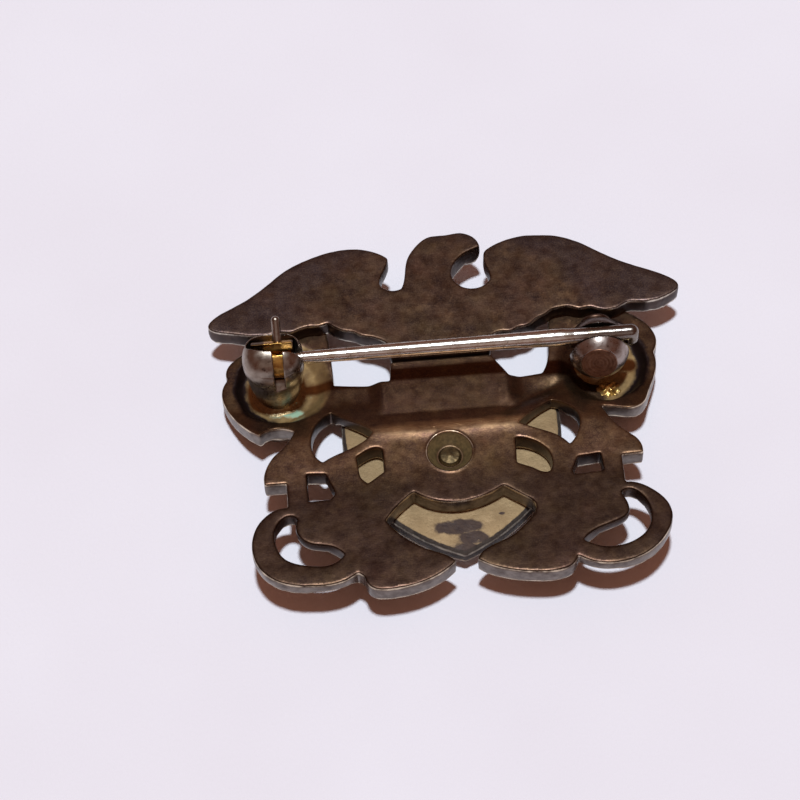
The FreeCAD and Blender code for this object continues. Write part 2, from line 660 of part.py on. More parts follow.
def make_solder_fillets(doc):
    """Two low mounds of solder, one round the joint's foot and one round the catch's."""
    rings = []
    feet = (("joint", dim("joint_x"), dim("ball_foot_radius"), dim("ball_foot_radius"), doc.joint_ball),
            ("catch", dim("catch_x"), dim("foot_half_length"), dim("foot_half_width"), doc.catch_housing))
    for name, x, half_length, half_width, piece in feet:
        mound = primitive(doc, "Ellipsoid", name + "_mound", {
            "Radius1": dim("fillet_height"), "Radius2": half_length + " + Dims.fillet_width",
            "Radius3": half_width + " + Dims.fillet_width"})
        mound.Angle1 = 0
        place(mound, x, dim("pin_line_y"), dim("boss_floor"))
        rings.append(combine(doc, "Cut", name + "_ring", mound, piece))
    part = doc.addObject("Part::Compound", "solder_fillets")
    part.Links = rings
    return part


def check(doc):
    doc.recompute()
    for obj in doc.Objects:
        if {"Invalid", "Error"} & set(obj.State):
            raise RuntimeError(f"{obj.Label} failed: {obj.State} {obj.getStatusString()}")


def write(parts):
    os.makedirs("parts", exist_ok=True)
    for obj in parts:
        shape = obj.Shape
        if shape.isNull() or not shape.isValid() or not shape.Solids:
            raise RuntimeError(obj.Label + " has no valid solid")
    for obj in parts:
        obj.Shape.exportStep(f"parts/{obj.Label}.step")
        print(f"{obj.Label}: {len(obj.Shape.Solids)} solid(s), {obj.Shape.Volume:.2f} mm3")
    box = FreeCAD.BoundBox()
    for obj in parts:
        box.add(obj.Shape.optimalBoundingBox())
    print(f"whole badge: {box}")


def main():
    doc = FreeCAD.newDocument("CapBadge")
    make_sheet(doc)
    makers = (make_eagle, make_anchors_plate, make_shield, make_centre_rivet, make_joint_ball,
              make_joint_rivet, make_pin_stem, make_catch_housing, make_catch_sleeve,
              make_catch_lever, make_solder_fillets)
    parts = [make(doc) for make in makers]
    check(doc)
    write(parts)


main()
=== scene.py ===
import math

import bmesh
import bpy
import numpy as np
from mathutils import Matrix, Vector, noise
from mathutils.geometry import delaunay_2d_cdt
from mathutils.kdtree import KDTree


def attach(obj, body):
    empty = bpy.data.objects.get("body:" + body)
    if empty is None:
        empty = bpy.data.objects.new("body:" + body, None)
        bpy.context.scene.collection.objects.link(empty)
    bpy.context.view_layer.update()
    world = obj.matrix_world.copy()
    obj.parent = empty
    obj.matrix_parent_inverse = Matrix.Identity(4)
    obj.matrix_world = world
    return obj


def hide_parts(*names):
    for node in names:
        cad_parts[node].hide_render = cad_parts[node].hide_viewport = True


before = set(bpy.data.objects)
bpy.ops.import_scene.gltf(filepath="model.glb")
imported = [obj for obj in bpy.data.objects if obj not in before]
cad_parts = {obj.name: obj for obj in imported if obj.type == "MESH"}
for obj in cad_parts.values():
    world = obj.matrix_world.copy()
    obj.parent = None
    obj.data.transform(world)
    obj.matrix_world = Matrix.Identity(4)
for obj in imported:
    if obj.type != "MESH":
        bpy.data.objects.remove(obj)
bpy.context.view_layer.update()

# Shapes are worked out in millimetres in the CAD frame: +X towards the pin's joint, +Y towards the
# eagle's head, +Z out of the badge's back. Plan coordinates have their origin on the badge's centre
# line, so that the left and right halves can be written as mirror images. PLAN is that origin.
MM = 0.001
PLAN = np.array((-0.35, -5.15))

BACK = 4.2  # the flat back's height
ARM_BACK, ARM_FRONT = 2.7, 1.7  # the plate's two faces where it passes under the eagle
NECK_BACK = 3.4  # the plate's back between the two arms
PLATE_FRONT, LOOP_FRONT = 2.35, 3.0
BOSS_FRONT, BOSS_FLOOR = 1.0, 2.0
BEND = (2.6, 6.4)  # the plate steps down between these two plan lines
BOSS_X, BOSS_Y = 14.2, 8.7  # the middle of each boss's rope coil
BOSS_COILS = ((0.65, 6), (1.85, 14), (3.05, 22), (4.2, 30))  # each coil's radius and turns of twist
LOOP_CENTRE, LOOP_RADIUS = (13.0, -7.6), 3.2
FAN_Y = 27.5  # the wings' feathers point away from here
# The wings' two edges: distance from the centre line, the leading edge and the trailing edge.
WING_EDGES = ((3, 20.4, 10.5), (5, 21.0, 11.8), (8, 21.5, 12.9), (11, 20.9, 13.7), (15, 18.3, 13.1),
              (20, 15.2, 14.2))
# The rows of feathers: width, and where the row ends and how long it is, as shares of the wing.
FEATHERS = ((1.5, 1.15, 0.5), (1.25, 0.75, 0.3), (1.0, 0.52, 0.2), (0.85, 0.36, 0.16), (0.7, 0.22, 0.14))
# Each boss's dish: its centre, its half width outwards and inwards, and its half height.
DISHES = ((-14.0, 8.9, 4.0, 4.9, 4.35), (13.2, 8.7, 3.9, 4.2, 4.4))
RIVET = (-0.4, 0.1)
RECESS = (1.1, 1.85, 3.3)  # round the rivet: floor radius, mouth radius, floor height
LOBE = (16.0, 3.9, 1.2, 0.4)  # the right boss's lower lobe: its place, its size and how far it swells
EDGE_RADIUS = 0.13  # how far the sheets' edges are worn round
BALL = (12.85, 8.6, 5.05, 2.6)  # centre and radius of the joint's worn cheeks
JOINT_Y = 8.7
# The near cheek's flat facet: its radius, its distance from the centre, and the way it faces.
FACET_RADIUS = 1.55
FACET_DISTANCE = math.sqrt(BALL[3] ** 2 - FACET_RADIUS**2)
FACET_TILT, FACET_TURN = math.radians(17), math.radians(5)
FACING = np.array((-math.cos(FACET_TILT) * math.sin(FACET_TURN),
                   -math.cos(FACET_TILT) * math.cos(FACET_TURN), math.sin(FACET_TILT)))
PIVOT_HEIGHT = 5.9
# Stains: each spot's strength, its middle and its two half widths.
VERDIGRIS = ((0.9, -13.2, 6.3, 1.0, 0.45), (0.35, -11.55, 7.9, 0.3, 0.6), (0.5, -14.6, 6.3, 1.0, 0.5))
SMUDGES = ((1, -0.2, -6.0, 2.3, 0.75), (1, 0.9, -7.1, 1.4, 0.7), (0.9, 0.1, -8.0, 1.6, 0.6),
           (0.8, 3.4, -5.05, 0.35, 0.16))
CATCH = (-14.38, 8.7, 6.9)  # the middle of the safety catch's barrel
LEVER_SLOT = (0.45, 0.41)  # the lever slot's place along the barrel, and its half width
# The catch's body below its barrel: height from the barrel's axis, half length and half width.
CATCH_FOOT = ((-5.0, 1.7, 1.9), (-4.0, 2.0, 2.05), (-3.0, 2.25, 2.15), (-2.0, 2.38, 2.2), (-1.0, 2.44, 2.2),
              (0.3, 2.44, 2.18))
# This grime colour is also the colour of the painted shade on the findings' far and hidden ends.
DIRT_AND_SHADE = (66, 50, 42)  # the colour of dirt on the findings
# The pin's radius along its length, from the catch to the joint.
PIN_RADII = ((-12.2, 0.5), (-11.4, 0.53), (-5.6, 0.62), (5.2, 0.68), (9, 0.75), (9.9, 0.73), (10.7, 0.66))


# ---- numbers ----


def ease(x, low, high):
    """0 at low and 1 at high, with a smooth start and end."""
    t = np.clip((x - low) / (high - low), 0.0, 1.0)
    return t * t * (3 - 2 * t)


def soft_ramp(t, softness):
    """Zero below t = 0 and t above it, with a rounded corner between."""
    return 0.5 * (t + np.sqrt(t * t + softness * softness))


def bell(x, width):
    return np.exp(-((x / width) ** 2))


def arch(t):
    """A half circle's height over t, from -1 to 1."""
    return np.sqrt(np.clip(1 - t**2, 0, 1))


def oval(x, y, cx, cy, half_x, half_y):
    """1 in an oval's middle and 0 from its rim outwards."""
    return np.clip(1 - ((x - cx) / half_x) ** 2 - ((y - cy) / half_y) ** 2, 0, 1)


def stain(x, y, spots):
    """Soft oval spots. Each has its strength, its middle and its two half widths."""
    return np.maximum.reduce([
        strength * bell(np.hypot((x - cx) / half_x, (y - cy) / half_y), 1.0)
        for strength, cx, cy, half_x, half_y in spots])


def cloud(points, size, octaves, seed):
    """Fractal noise of about -1 to 1, with lumps of the given size in mm."""
    shift = Vector((seed * 17.3, seed * 5.1, seed * 9.7))
    return np.array([noise.fractal(Vector(p) / size + shift, 1.0, 2.0, octaves) for p in points])


def ripple(x, y, size, octaves, seed, z=0.0):
    """The same noise over plan coordinates."""
    return cloud(np.column_stack((x, y, np.broadcast_to(z, np.shape(x)))), size, octaves, seed)


# ---- outlines ----


def back_outlines(node, lowest, skip=()):
    """The rings round a sheet's back face, in plan, each with the metal on its left. Rings whose
    middle is near a point of skip are left out."""
    bm = bmesh.new()
    bm.from_mesh(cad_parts[node].data)
    bmesh.ops.remove_doubles(bm, verts=bm.verts, dist=0.002 * MM)
    back = {f for f in bm.faces if min(v.co.z for v in f.verts) > lowest * MM
            and (f.normal.z > 0.9 or abs(f.normal.z) < 0.5)}
    following = {}
    for edge in bm.edges:
        inside = [f for f in edge.link_faces if f in back]
        if len(inside) == 1:
            loop = next(corner for corner in inside[0].loops if corner.edge == edge)
            following[loop.vert] = loop.link_loop_next.vert
    rings = []
    while following:
        vert, ring = next(iter(following)), []
        while vert in following:
            ring.append((vert.co.x / MM, vert.co.y / MM))
            vert = following.pop(vert)
        ring = np.array(ring) - PLAN
        ring = ring[np.hypot(*(ring - np.roll(ring, 1, axis=0)).T) > 0.003]
        middle = (ring.min(0) + ring.max(0)) / 2
        if all(np.hypot(*(middle - place)) > 1.0 for place in skip):
            rings.append(ring)
    bm.free()
    return rings


def resample(ring, step):
    """Add points so that none are more than step apart, keeping the ring's own points."""
    points, corners = [], []
    ahead = np.roll(ring, -1, axis=0)
    before, after = ring - np.roll(ring, 1, axis=0), ahead - ring
    cross = before[:, 0] * after[:, 1] - before[:, 1] * after[:, 0]
    turn = np.abs(np.arctan2(cross, (before * after).sum(1)))
    for start, stop, angle in zip(ring, ahead, turn):
        count = max(1, math.ceil(np.hypot(*(stop - start)) / step))
        for i in range(count):
            points.append(start + (stop - start) * i / count)
            corners.append(i == 0 and angle > math.radians(40))
    return np.array(points), np.array(corners)


def neighbours(points):
    """The middle between each point's two neighbours."""
    return (np.roll(points, 1, axis=0) + np.roll(points, -1, axis=0)) / 2


def fair(points, corners, rounds=9, worn=2):
    """Take the facets out of a ring, then wear its sharp corners a little."""
    for k in range(rounds + worn):
        points = np.where((corners & (k < rounds))[:, None], points, (points + neighbours(points)) / 2)
    return points


def drawn_together(points, share, rounds):
    """Smooth a ring where share is near 1."""
    for _ in range(rounds):
        points = points + (neighbours(points) - points) * share * 0.9
    return points


def inward(points):
    """Each point's direction into the metal."""
    along = np.roll(points, -1, axis=0) - np.roll(points, 1, axis=0)
    along /= np.maximum(np.hypot(along[:, 0], along[:, 1]), 1e-9)[:, None]
    return np.column_stack((-along[:, 1], along[:, 0]))


def circle(x, y, radius, step):
    count = int(2 * math.pi * radius / step)
    angle = np.arange(count) * 2 * math.pi / count
    return np.column_stack((x + radius * np.cos(angle), y + radius * np.sin(angle)))


def point_tree(points):
    tree = KDTree(len(points))
    for i, (x, y) in enumerate(points):
        tree.insert((x, y, 0), i)
    tree.balance()
    return tree


def tree_distance(tree, points):
    """Each point's distance from the nearest point of a tree."""
    return np.array([tree.find((x, y, 0))[2] for x, y in points])


# ---- sheet pieces: a back and a front face over one outline ----


class Sheet:
    """A struck sheet with the CAD's outline. Its two faces are height fields over one triangulation."""

    wall_rows = 5

    def __init__(self, rings, step, extra=(), insets=(0.02, 0.055, 0.1)):
        self.rims = [fair(*resample(ring, step)) for ring in rings]
        self.tree = point_tree(np.concatenate([resample(rim, 0.03)[0] for rim in self.rims]))
        sets = list(self.rims)
        for inset in insets:
            for rim in self.rims:
                ring = rim + inward(rim) * inset
                sets.append(ring[self.distance(ring) > inset * 0.9])
        clear = insets[-1] + step * 0.55
        for ring in extra:
            ring = ring[self.inside(ring)]
            sets.append(ring[self.distance(ring) > clear])
        grid = self.grid(step)
        sets.append(grid[self.distance(grid) > clear])
        self.triangulate(sets)

    def distance(self, points):
        return tree_distance(self.tree, points)

    def crossings(self, y):
        """Where the line at height y crosses the outline, from left to right."""
        found = []
        for rim in self.rims:
            ahead = np.roll(rim, -1, axis=0)
            hit = (rim[:, 1] > y) != (ahead[:, 1] > y)
            a, b = rim[hit], ahead[hit]
            found.append(a[:, 0] + (y - a[:, 1]) * (b[:, 0] - a[:, 0]) / (b[:, 1] - a[:, 1]))
        return np.sort(np.concatenate(found))

    def inside(self, points):
        return np.array([np.searchsorted(self.crossings(y), x) % 2 == 1 for x, y in points])

    def grid(self, step):
        low = np.min([rim.min(0) for rim in self.rims], axis=0)
        high = np.max([rim.max(0) for rim in self.rims], axis=0)
        random = np.random.default_rng(7)
        rows = []
        for i, y in enumerate(np.arange(low[1], high[1], step * 0.87)):
            x = np.arange(low[0], high[0], step) + (i % 2) * step / 2
            x = x[np.searchsorted(self.crossings(y), x) % 2 == 1]
            shake = random.uniform(-0.12, 0.12, (len(x), 2)) * step
            rows.append(np.column_stack((x, np.full(len(x), y))) + shake)
        return np.concatenate(rows)

    def triangulate(self, sets):
        edges, start = [], 0
        for rim in self.rims:
            count = len(rim)
            edges += [(start + i, start + (i + 1) % count) for i in range(count)]
            start += count
        points = [Vector(p) for p in np.concatenate(sets)]
        verts, _, faces, _, _, _ = delaunay_2d_cdt(points, edges, [], 0, 1e-5)
        self.points = np.array([tuple(v) for v in verts])
        faces = np.array([f for f in faces if len(f) == 3])
        depth = self.distance(self.points)
        edge_only = (depth[faces] < 1e-3).all(axis=1)
        middles = self.points[faces].mean(axis=1)
        keep = ~edge_only
        keep[edge_only] = self.inside(middles[edge_only])
        self.faces = faces[keep]
        used = np.unique(self.faces)
        renumber = np.full(len(self.points), -1)
        renumber[used] = np.arange(len(used))
        self.points, self.depth = self.points[used], depth[used]
        self.faces = renumber[self.faces]
        a, b, c = (self.points[self.faces[:, i]] for i in range(3))
        area = (b[:, 0] - a[:, 0]) * (c[:, 1] - a[:, 1]) - (b[:, 1] - a[:, 1]) * (c[:, 0] - a[:, 0])
        self.faces[area < 0] = self.faces[area < 0][:, ::-1]

    def border(self):
        """The triangulation's border edges, each with the metal on its left."""
        pairs = np.concatenate([self.faces[:, [i, (i + 1) % 3]] for i in range(3)])
        known = {tuple(p) for p in pairs}
        return [(a, b) for a, b in known if (b, a) not in known]

    def mesh(self, name, back, front, wall_wave=0.02):
        """Build the mesh. back and front are heights at self.points."""
        x, y = self.points[:, 0], self.points[:, 1]
        radius = EDGE_RADIUS * (1 + 0.35 * ripple(x, y, 1.2, 2, 3))
        rest = np.clip(radius - self.depth, 0, None)
        drop = radius - np.sqrt(np.maximum(radius**2 - rest**2, 0))
        top = back - drop - 0.03 * np.exp(-self.depth / 0.4)
        bottom = front + drop
        border = self.border()
        outward = {}
        for a, b in border:
            along = self.points[b] - self.points[a]
            side = np.array((along[1], -along[0])) / max(np.hypot(*along), 1e-9)
            for end in (a, b):
                outward[end] = outward.get(end, 0) + side
        count, rim = len(self.points), sorted(outward)
        place = {v: i for i, v in enumerate(rim)}
        normal = np.array([outward[v] / max(np.hypot(*outward[v]), 1e-9) for v in rim])
        rows = []
        for k in range(1, self.wall_rows):
            share = k / self.wall_rows
            z = top[rim] + (bottom[rim] - top[rim]) * share
            wave = wall_wave * ripple(x[rim], y[rim], 0.9, 3, 5, z)
            swell = 0.03 * math.sin(math.pi * share)
            rows.append(np.column_stack((self.points[rim] + normal * (wave + swell)[:, None], z)))
        verts = np.concatenate([
            np.column_stack((self.points, top)), np.column_stack((self.points, bottom)), *rows])
        faces = [tuple(f) for f in self.faces] + [tuple(f[::-1] + count) for f in self.faces]

        def wall(v, k):
            if k == 0:
                return v
            return v + count if k == self.wall_rows else 2 * count + (k - 1) * len(rim) + place[v]

        for a, b in border:
            for k in range(self.wall_rows):
                faces.append((wall(b, k), wall(a, k), wall(a, k + 1), wall(b, k + 1)))
        self.piece, self.count, self.rim = make_piece(name, verts + (*PLAN, 0), faces), count, rim
        self.paint("wall", 0, 0, 1)
        self.paint("front", 0, 1, 0.5)
        return self.piece

    def paint(self, name, on_back, on_front=None, on_wall=0.0):
        """Paint the built mesh with values over the plan points, or with one value for a whole side."""
        on_front = on_back if on_front is None else on_front
        paint(self.piece, name, np.concatenate((
            np.broadcast_to(on_back, self.count), np.broadcast_to(on_front, self.count),
            np.tile(np.broadcast_to(on_wall, len(self.rim)), self.wall_rows - 1))))


def make_piece(name, verts, faces):
    mesh = bpy.data.meshes.new(name)
    mesh.from_pydata((np.asarray(verts, float) * MM).tolist(), [], faces)
    mesh.update()
    mesh.shade_smooth()
    return add_object(name, mesh)


def add_object(name, data):
    thing = bpy.data.objects.new(name, data)
    bpy.context.scene.collection.objects.link(thing)
    return thing


def paint(piece, name, values):
    attribute = piece.data.attributes.get(name) or piece.data.attributes.new(name, "FLOAT", "POINT")
    attribute.data.foreach_set("value", np.ascontiguousarray(values, np.float32))


def finish_piece(piece, body, material, slot, *nodes):
    piece.data.materials.clear()
    piece.data.materials.append(material)
    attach(piece, body)
    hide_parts(*nodes)


# ---- the anchors plate ----


def dish_reach(x, y, dish):
    """0 at a dish's middle and 1 on its rim."""
    cx, cy, outward, inward_half, half_y = dish
    across = (x - cx) * np.sign(cx)
    half_x = np.where(across > 0, outward, inward_half)
    ragged = 0.03 * ripple(x, y, 1.3, 3, 14)
    return np.hypot(across / half_x, (y - cy) / half_y) + ragged


def dish_share(x, y, dish):
    """1 on the dish's floor and 0 outside it. Its wall is steep outwards and a long slope inwards."""
    facing = np.clip((dish[0] - x) * np.sign(dish[0]) / dish[3], 0, 1)
    return ease(1.0 - dish_reach(x, y, dish), 0.0, 0.19 + 0.4 * facing)


def plate_back(x, y):
    slope = (BACK - ARM_BACK) / (BEND[1] - BEND[0])
    z = BACK - slope * soft_ramp(y - BEND[0], 0.5) + slope * soft_ramp(y - BEND[1], 0.5)
    neck = ease(x, -6.8, -5.4) * ease(x, 6.4, 4.9) * ease(y, 10.0, 9.9)
    z = z + np.clip(NECK_BACK - z, 0, None) * neck
    crest = bell(y - BEND[0] - 0.05 + 0.25 * bell(x + 1, 3.0), 0.75) * np.exp(-((x / 8.5) ** 6))
    z = z + 0.17 * crest
    valley = bell((y - 4.3) - 0.55 * (x - 4.5), 0.7) * ease(x, 3.6, 5.2) * ease(x, 10.5, 8.5)
    z = z - 0.22 * valley
    z = z + 0.03 * ripple(x, y, 3.6, 2, 1) + 0.003 * ripple(x, y, 0.5, 2, 2)
    for dish in DISHES:
        share, reach = dish_share(x, y, dish), dish_reach(x, y, dish)
        floor = BOSS_FLOOR + 0.12 * reach**2 + 0.02 * ripple(x, y, 1.2, 2, 4)
        z = z + (floor - z) * share
    r = np.hypot(x - RIVET[0], y - RIVET[1])
    cone = RECESS[2] + (BACK - RECESS[2]) * np.clip((r - RECESS[0]) / (RECESS[1] - RECESS[0]), 0, 1)
    z = np.where(r < RECESS[1], np.minimum(z, cone), z)
    return z + 0.04 * bell(r - RECESS[1] - 0.08, 0.12)


def rope(along, across):
    """A twisted cord's relief: along is its length in turns, and across is -1 to 1 over its width."""
    twist = np.abs(np.sin(math.pi * (along + 0.35 * across)))
    return arch(across) * (0.72 + 0.28 * np.sqrt(twist))


def plate_front(x, y, depth):
    outer = ease(np.abs(x), 9.2, 9.8)
    arm = ARM_FRONT + (BOSS_FRONT - ARM_FRONT) * outer
    z = PLATE_FRONT + (arm - PLATE_FRONT) * ease(y, BEND[0] - 0.3, BEND[1] + 0.3)
    loops = ease(np.abs(x), 8.5, 9.3) * ease(y, -2.0, -3.2)
    z = z + (LOOP_FRONT - z) * loops
    z = z - 0.32 * ease(depth, 0.0, 0.9)
    side = np.sign(x)
    across, up = side * x - LOOP_CENTRE[0], y - LOOP_CENTRE[1]
    angle = np.arctan2(up, across)
    ring = np.hypot(across, up * 1.1) - LOOP_RADIUS
    z = z - 0.42 * rope(angle * 18 / (2 * math.pi), ring) * loops * (np.abs(ring) < 1)
    blade = np.abs(x) - 1.2 + (y + 11.2) * 0.35
    ribs = np.sin(blade * 4.2) * ease(y, -5.8, -6.6) * (1 - loops) * ease(depth, 0.2, 0.7)
    z = z - 0.1 * ribs
    off_shank = y - 0.55 * (np.abs(x) - 9.0) + 1.0
    z = z - 0.22 * np.where((np.abs(off_shank) < 0.9) & (loops < 0.5), arch(off_shank / 0.9), 0)
    for sign in (-1, 1):
        r = np.hypot(x - sign * BOSS_X, y - BOSS_Y)
        turn = np.arctan2(y - BOSS_Y, x - sign * BOSS_X) / (2 * math.pi)
        dome = BOSS_FRONT * (1 - ease(r, 1.6, 4.3)) + 0.12
        coil = sum(rope(turn * n, (r - radius) / 0.62) * (np.abs(r - radius) < 0.62)
                   for radius, n in BOSS_COILS)
        share = ease(r, 4.9, 4.3)
        z = z + (BOSS_FRONT - dome + 0.34 - 0.34 * coil - z) * share
    return np.maximum(z + 0.015 * ripple(x, y, 0.7, 3, 6, 9), 0.01)


def full_lobe(ring):
    """Swell the right boss's lower corner into a round lobe."""
    points, _ = resample(ring, 0.12)
    near = bell(np.hypot(*(points - LOBE[:2]).T), LOBE[2])[:, None]
    points = drawn_together(points, near, 25)
    return points - inward(points) * near * LOBE[3]


def make_anchors_plate():
    skip = [np.array(d[:2]) for d in DISHES] + [np.array(RIVET)]
    rings = [full_lobe(ring) for ring in back_outlines("anchors_plate", 2.65, skip)]
    extra = [circle(*RIVET, r, 0.07) for r in (1.05, 1.12, 1.3, 1.5, 1.7, 1.8, 1.87, 1.94, 2.02, 2.15)]
    sheet = Sheet(rings, 0.138, extra)
    (x, y), depth = sheet.points.T, sheet.depth
    back, front = plate_back(x, y), plate_front(x, y, depth)
    piece = sheet.mesh("anchors_plate_struck", back, np.minimum(front, back - 0.45))
    edge = np.exp(-depth / 0.09)
    r = np.hypot(x - RIVET[0], y - RIVET[1])
    rim = 0.8 * bell(r - 1.93, 0.08)
    crest = bell(y - BEND[0] - 0.15, 0.8) * np.exp(-((x / 7.5) ** 6))
    reach = np.minimum(*[dish_reach(x, y, dish) for dish in DISHES])
    outward = ease((np.abs(x) - 13.0) + 0.5 * np.abs(y - 8.7) * (y > 8.7), 0.6, 2.2)
    # Dark on the dishes' outward walls: tarnish, with painted shade over it.
    wall = bell(reach - 0.9, 0.15) * outward
    fade = np.where(x > 0, ease(x, 12.3, 14.2), ease(x, -8.9, -11.0))
    gilt = ease(1.04 - reach, 0.0, 0.2) * fade
    cone = (r < RECESS[1]) * ease(r, 0.9, 1.3)
    outer = (tree_distance(point_tree(max(sheet.rims, key=len)), sheet.points) < 0.3) * 1.0
    # Worn edges, with painted highlights where the rounded edges and the rivet recess's rim catch the
    # light.
    sheet.paint("wear_and_highlight", np.maximum(edge * (0.5 + 0.5 * outer), rim), edge, 0.25)
    # The outer outline: its walls get the lighter colour of painted bounce light, and its edges more
    # painted highlight and wear.
    sheet.paint("outer", outer, outer, outer[sheet.rim])
    # Painted highlight along the back's crest, and rubbing on the front's raised middle.
    sheet.paint("rubbed_and_highlight", crest, 0.6 * ease(depth, 0.3, 0.9), 0)
    sheet.paint("cup", gilt, 0, 0)
    # Darker towards the bottom of the back, and painted shade on the back beyond the crest, towards the
    # eagle.
    sheet.paint("low", ease(y, 0.5, -4.0) + 0.45 * ease(y, 3.4, 5.5), 0, 0)
    sheet.paint("cup_wall_tarnish_and_shade", wall, 0, 0)
    sheet.paint("cone", cone, 0, 0)
    sheet.paint("mint", stain(x, y, VERDIGRIS), 0, 0)
    return piece


# ---- the eagle ----


def feather_row(across, along, pitch, tip, length):
    """One row of overlapping feathers that end near along = tip, and start length before it."""
    cell = across / pitch
    middle = 2 * (cell - np.floor(cell)) - 1
    end = tip - 0.22 * middle**2 * length * 0.5
    inside = (along < end) & (along > tip - length * 1.25)
    rise = np.clip((along - (tip - length * 1.25)) / (length * 1.25), 0, 1)
    vane = 0.6 + 0.4 * arch(middle)
    shaft = bell(middle, 0.12) * 0.25
    barbs = 0.06 * np.sin(40 * (along / length + 0.4 * np.abs(middle)))
    return np.where(inside, rise * (vane + shaft + barbs), 0)


def eagle_front(x, y, depth):
    side = np.sign(x)
    fan_x, fan_y = side * x - 2.0, FAN_Y - y
    across = np.arctan2(fan_x, fan_y) * 14
    along = np.hypot(fan_x, fan_y)
    places, lead, trail = zip(*WING_EDGES)
    lead, trail = (FAN_Y - np.interp(np.abs(x), places, edge) for edge in (lead, trail))
    tilt = along / np.maximum(fan_y, 1e-6)
    share = (along - lead * tilt) / np.maximum((trail - lead) * tilt, 0.5)
    wing = ease(np.abs(x), 3.0, 4.2)
    rows = np.zeros(len(x))
    for k, (pitch, tip, length) in enumerate(FEATHERS):
        row = feather_row(across + 0.37 * k, share, pitch, tip, length)
        rows = np.where(row > 0, 0.16 + 0.34 * row, rows)
    z = ARM_BACK - wing * rows
    lead_bead = bell(share - 0.03, 0.06) * wing
    z = z - 0.25 * lead_bead
    body = oval(x, y, -0.2, 14.5, 2.9, 3.5)
    z = z - 1.9 * np.sqrt(body)
    head = oval(x, y, 0.3, 20.3, 2.5, 2.1)
    neck = oval(x - 0.25 * (y - 17.5), 0, -1.0, 0, 2.0, 1) * ease(np.abs(y - 17.8), 2.8, 1.6)
    z = np.minimum(z, ARM_BACK - 1.3 * np.sqrt(head))
    z = np.minimum(z, ARM_BACK - 1.15 * np.sqrt(neck) * (np.abs(x + 0.9) < 2.4))
    beak = np.clip(1 - ((y - 21.1 + 0.12 * (x - 2) ** 2) / 0.95) ** 2, 0, 1) * ease(x, 1.9, 2.3)
    z = np.minimum(z, ARM_BACK - 1.0 * np.sqrt(beak) * ease(4.2 - x, 0, 0.8))
    z = z + 0.12 * bell(y - 20.9 + 0.1 * (x - 2) ** 2, 0.07) * ease(x, 2.2, 2.4)
    eye = np.hypot(x - 1.35, y - 21.0)
    z = z - 0.14 * bell(eye - 0.36, 0.1) - 0.12 * bell(eye, 0.16) + 0.1 * bell(eye - 0.22, 0.07)
    scale_u, scale_v = x / 0.8, y / 0.62
    brick = scale_u + 0.5 * (np.floor(scale_v) % 2)
    mid = 2 * (brick - np.floor(brick)) - 1
    down = scale_v - np.floor(scale_v)
    plume = arch(mid) * (1 - down) * (body > 0.05)
    plume = np.where((body <= 0.05) & (neck > 0.1), 0.8 * np.abs(np.sin(4 * (x - 0.3 * y))) * neck, plume)
    z = z - 0.13 * plume * (eye > 0.6)
    z = np.where((y < 11.0) & (np.abs(x) < 5.0), ARM_BACK, z)
    z = z + 0.2 * np.exp(-depth / 0.25)
    return np.maximum(z + 0.012 * ripple(x, y, 0.6, 3, 8, 4), 0.05)


def blunt_tips(ring):
    """Wear the wing tips round."""
    points, _ = resample(ring, 0.11)
    span = np.abs(points[:, 0]).max()
    tip = ease(np.abs(points[:, 0]), 18.4, 19.2)[:, None]
    points = drawn_together(points, tip, 70)
    worn = span - np.abs(points[:, 0]).max()
    points[:, 0] += np.sign(points[:, 0]) * worn * ease(np.abs(points[:, 0]), 14.0, 19.6)
    return points


def make_eagle():
    sheet = Sheet([blunt_tips(ring) for ring in back_outlines("eagle", 4.0)], 0.11)
    x, y = sheet.points.T
    back = BACK + 0.025 * ripple(x, y, 4.5, 2, 11) + 0.003 * ripple(x, y, 0.6, 2, 12)
    front = eagle_front(x, y, sheet.depth)
    piece = sheet.mesh("eagle_struck", back, front, wall_wave=0.03)
    # Worn edges, with painted highlights that are strongest along the eagle's lower edges, which catch the
    # light.
    glinting_low_edge = ease(np.interp(np.abs(x), (4, 8, 20), (12.5, 13.8, 15.2)) - y, -0.2, 0.4)
    edge = np.exp(-sheet.depth / 0.08)
    sheet.paint("wear_and_highlight", edge * (0.35 + 0.65 * glinting_low_edge), edge, 0.2)
    # The wing tips, whose walls get the lighter colour of painted bounce light.
    sheet.paint("outer", ease(np.abs(x), 15.5, 17.5))
    outward = ease(np.hypot(x / 1.35, y - 12.5), 7.5, 10.5)
    sheet.paint("purple", outward, 0, outward[sheet.rim])
    return piece


# ---- the shield ----


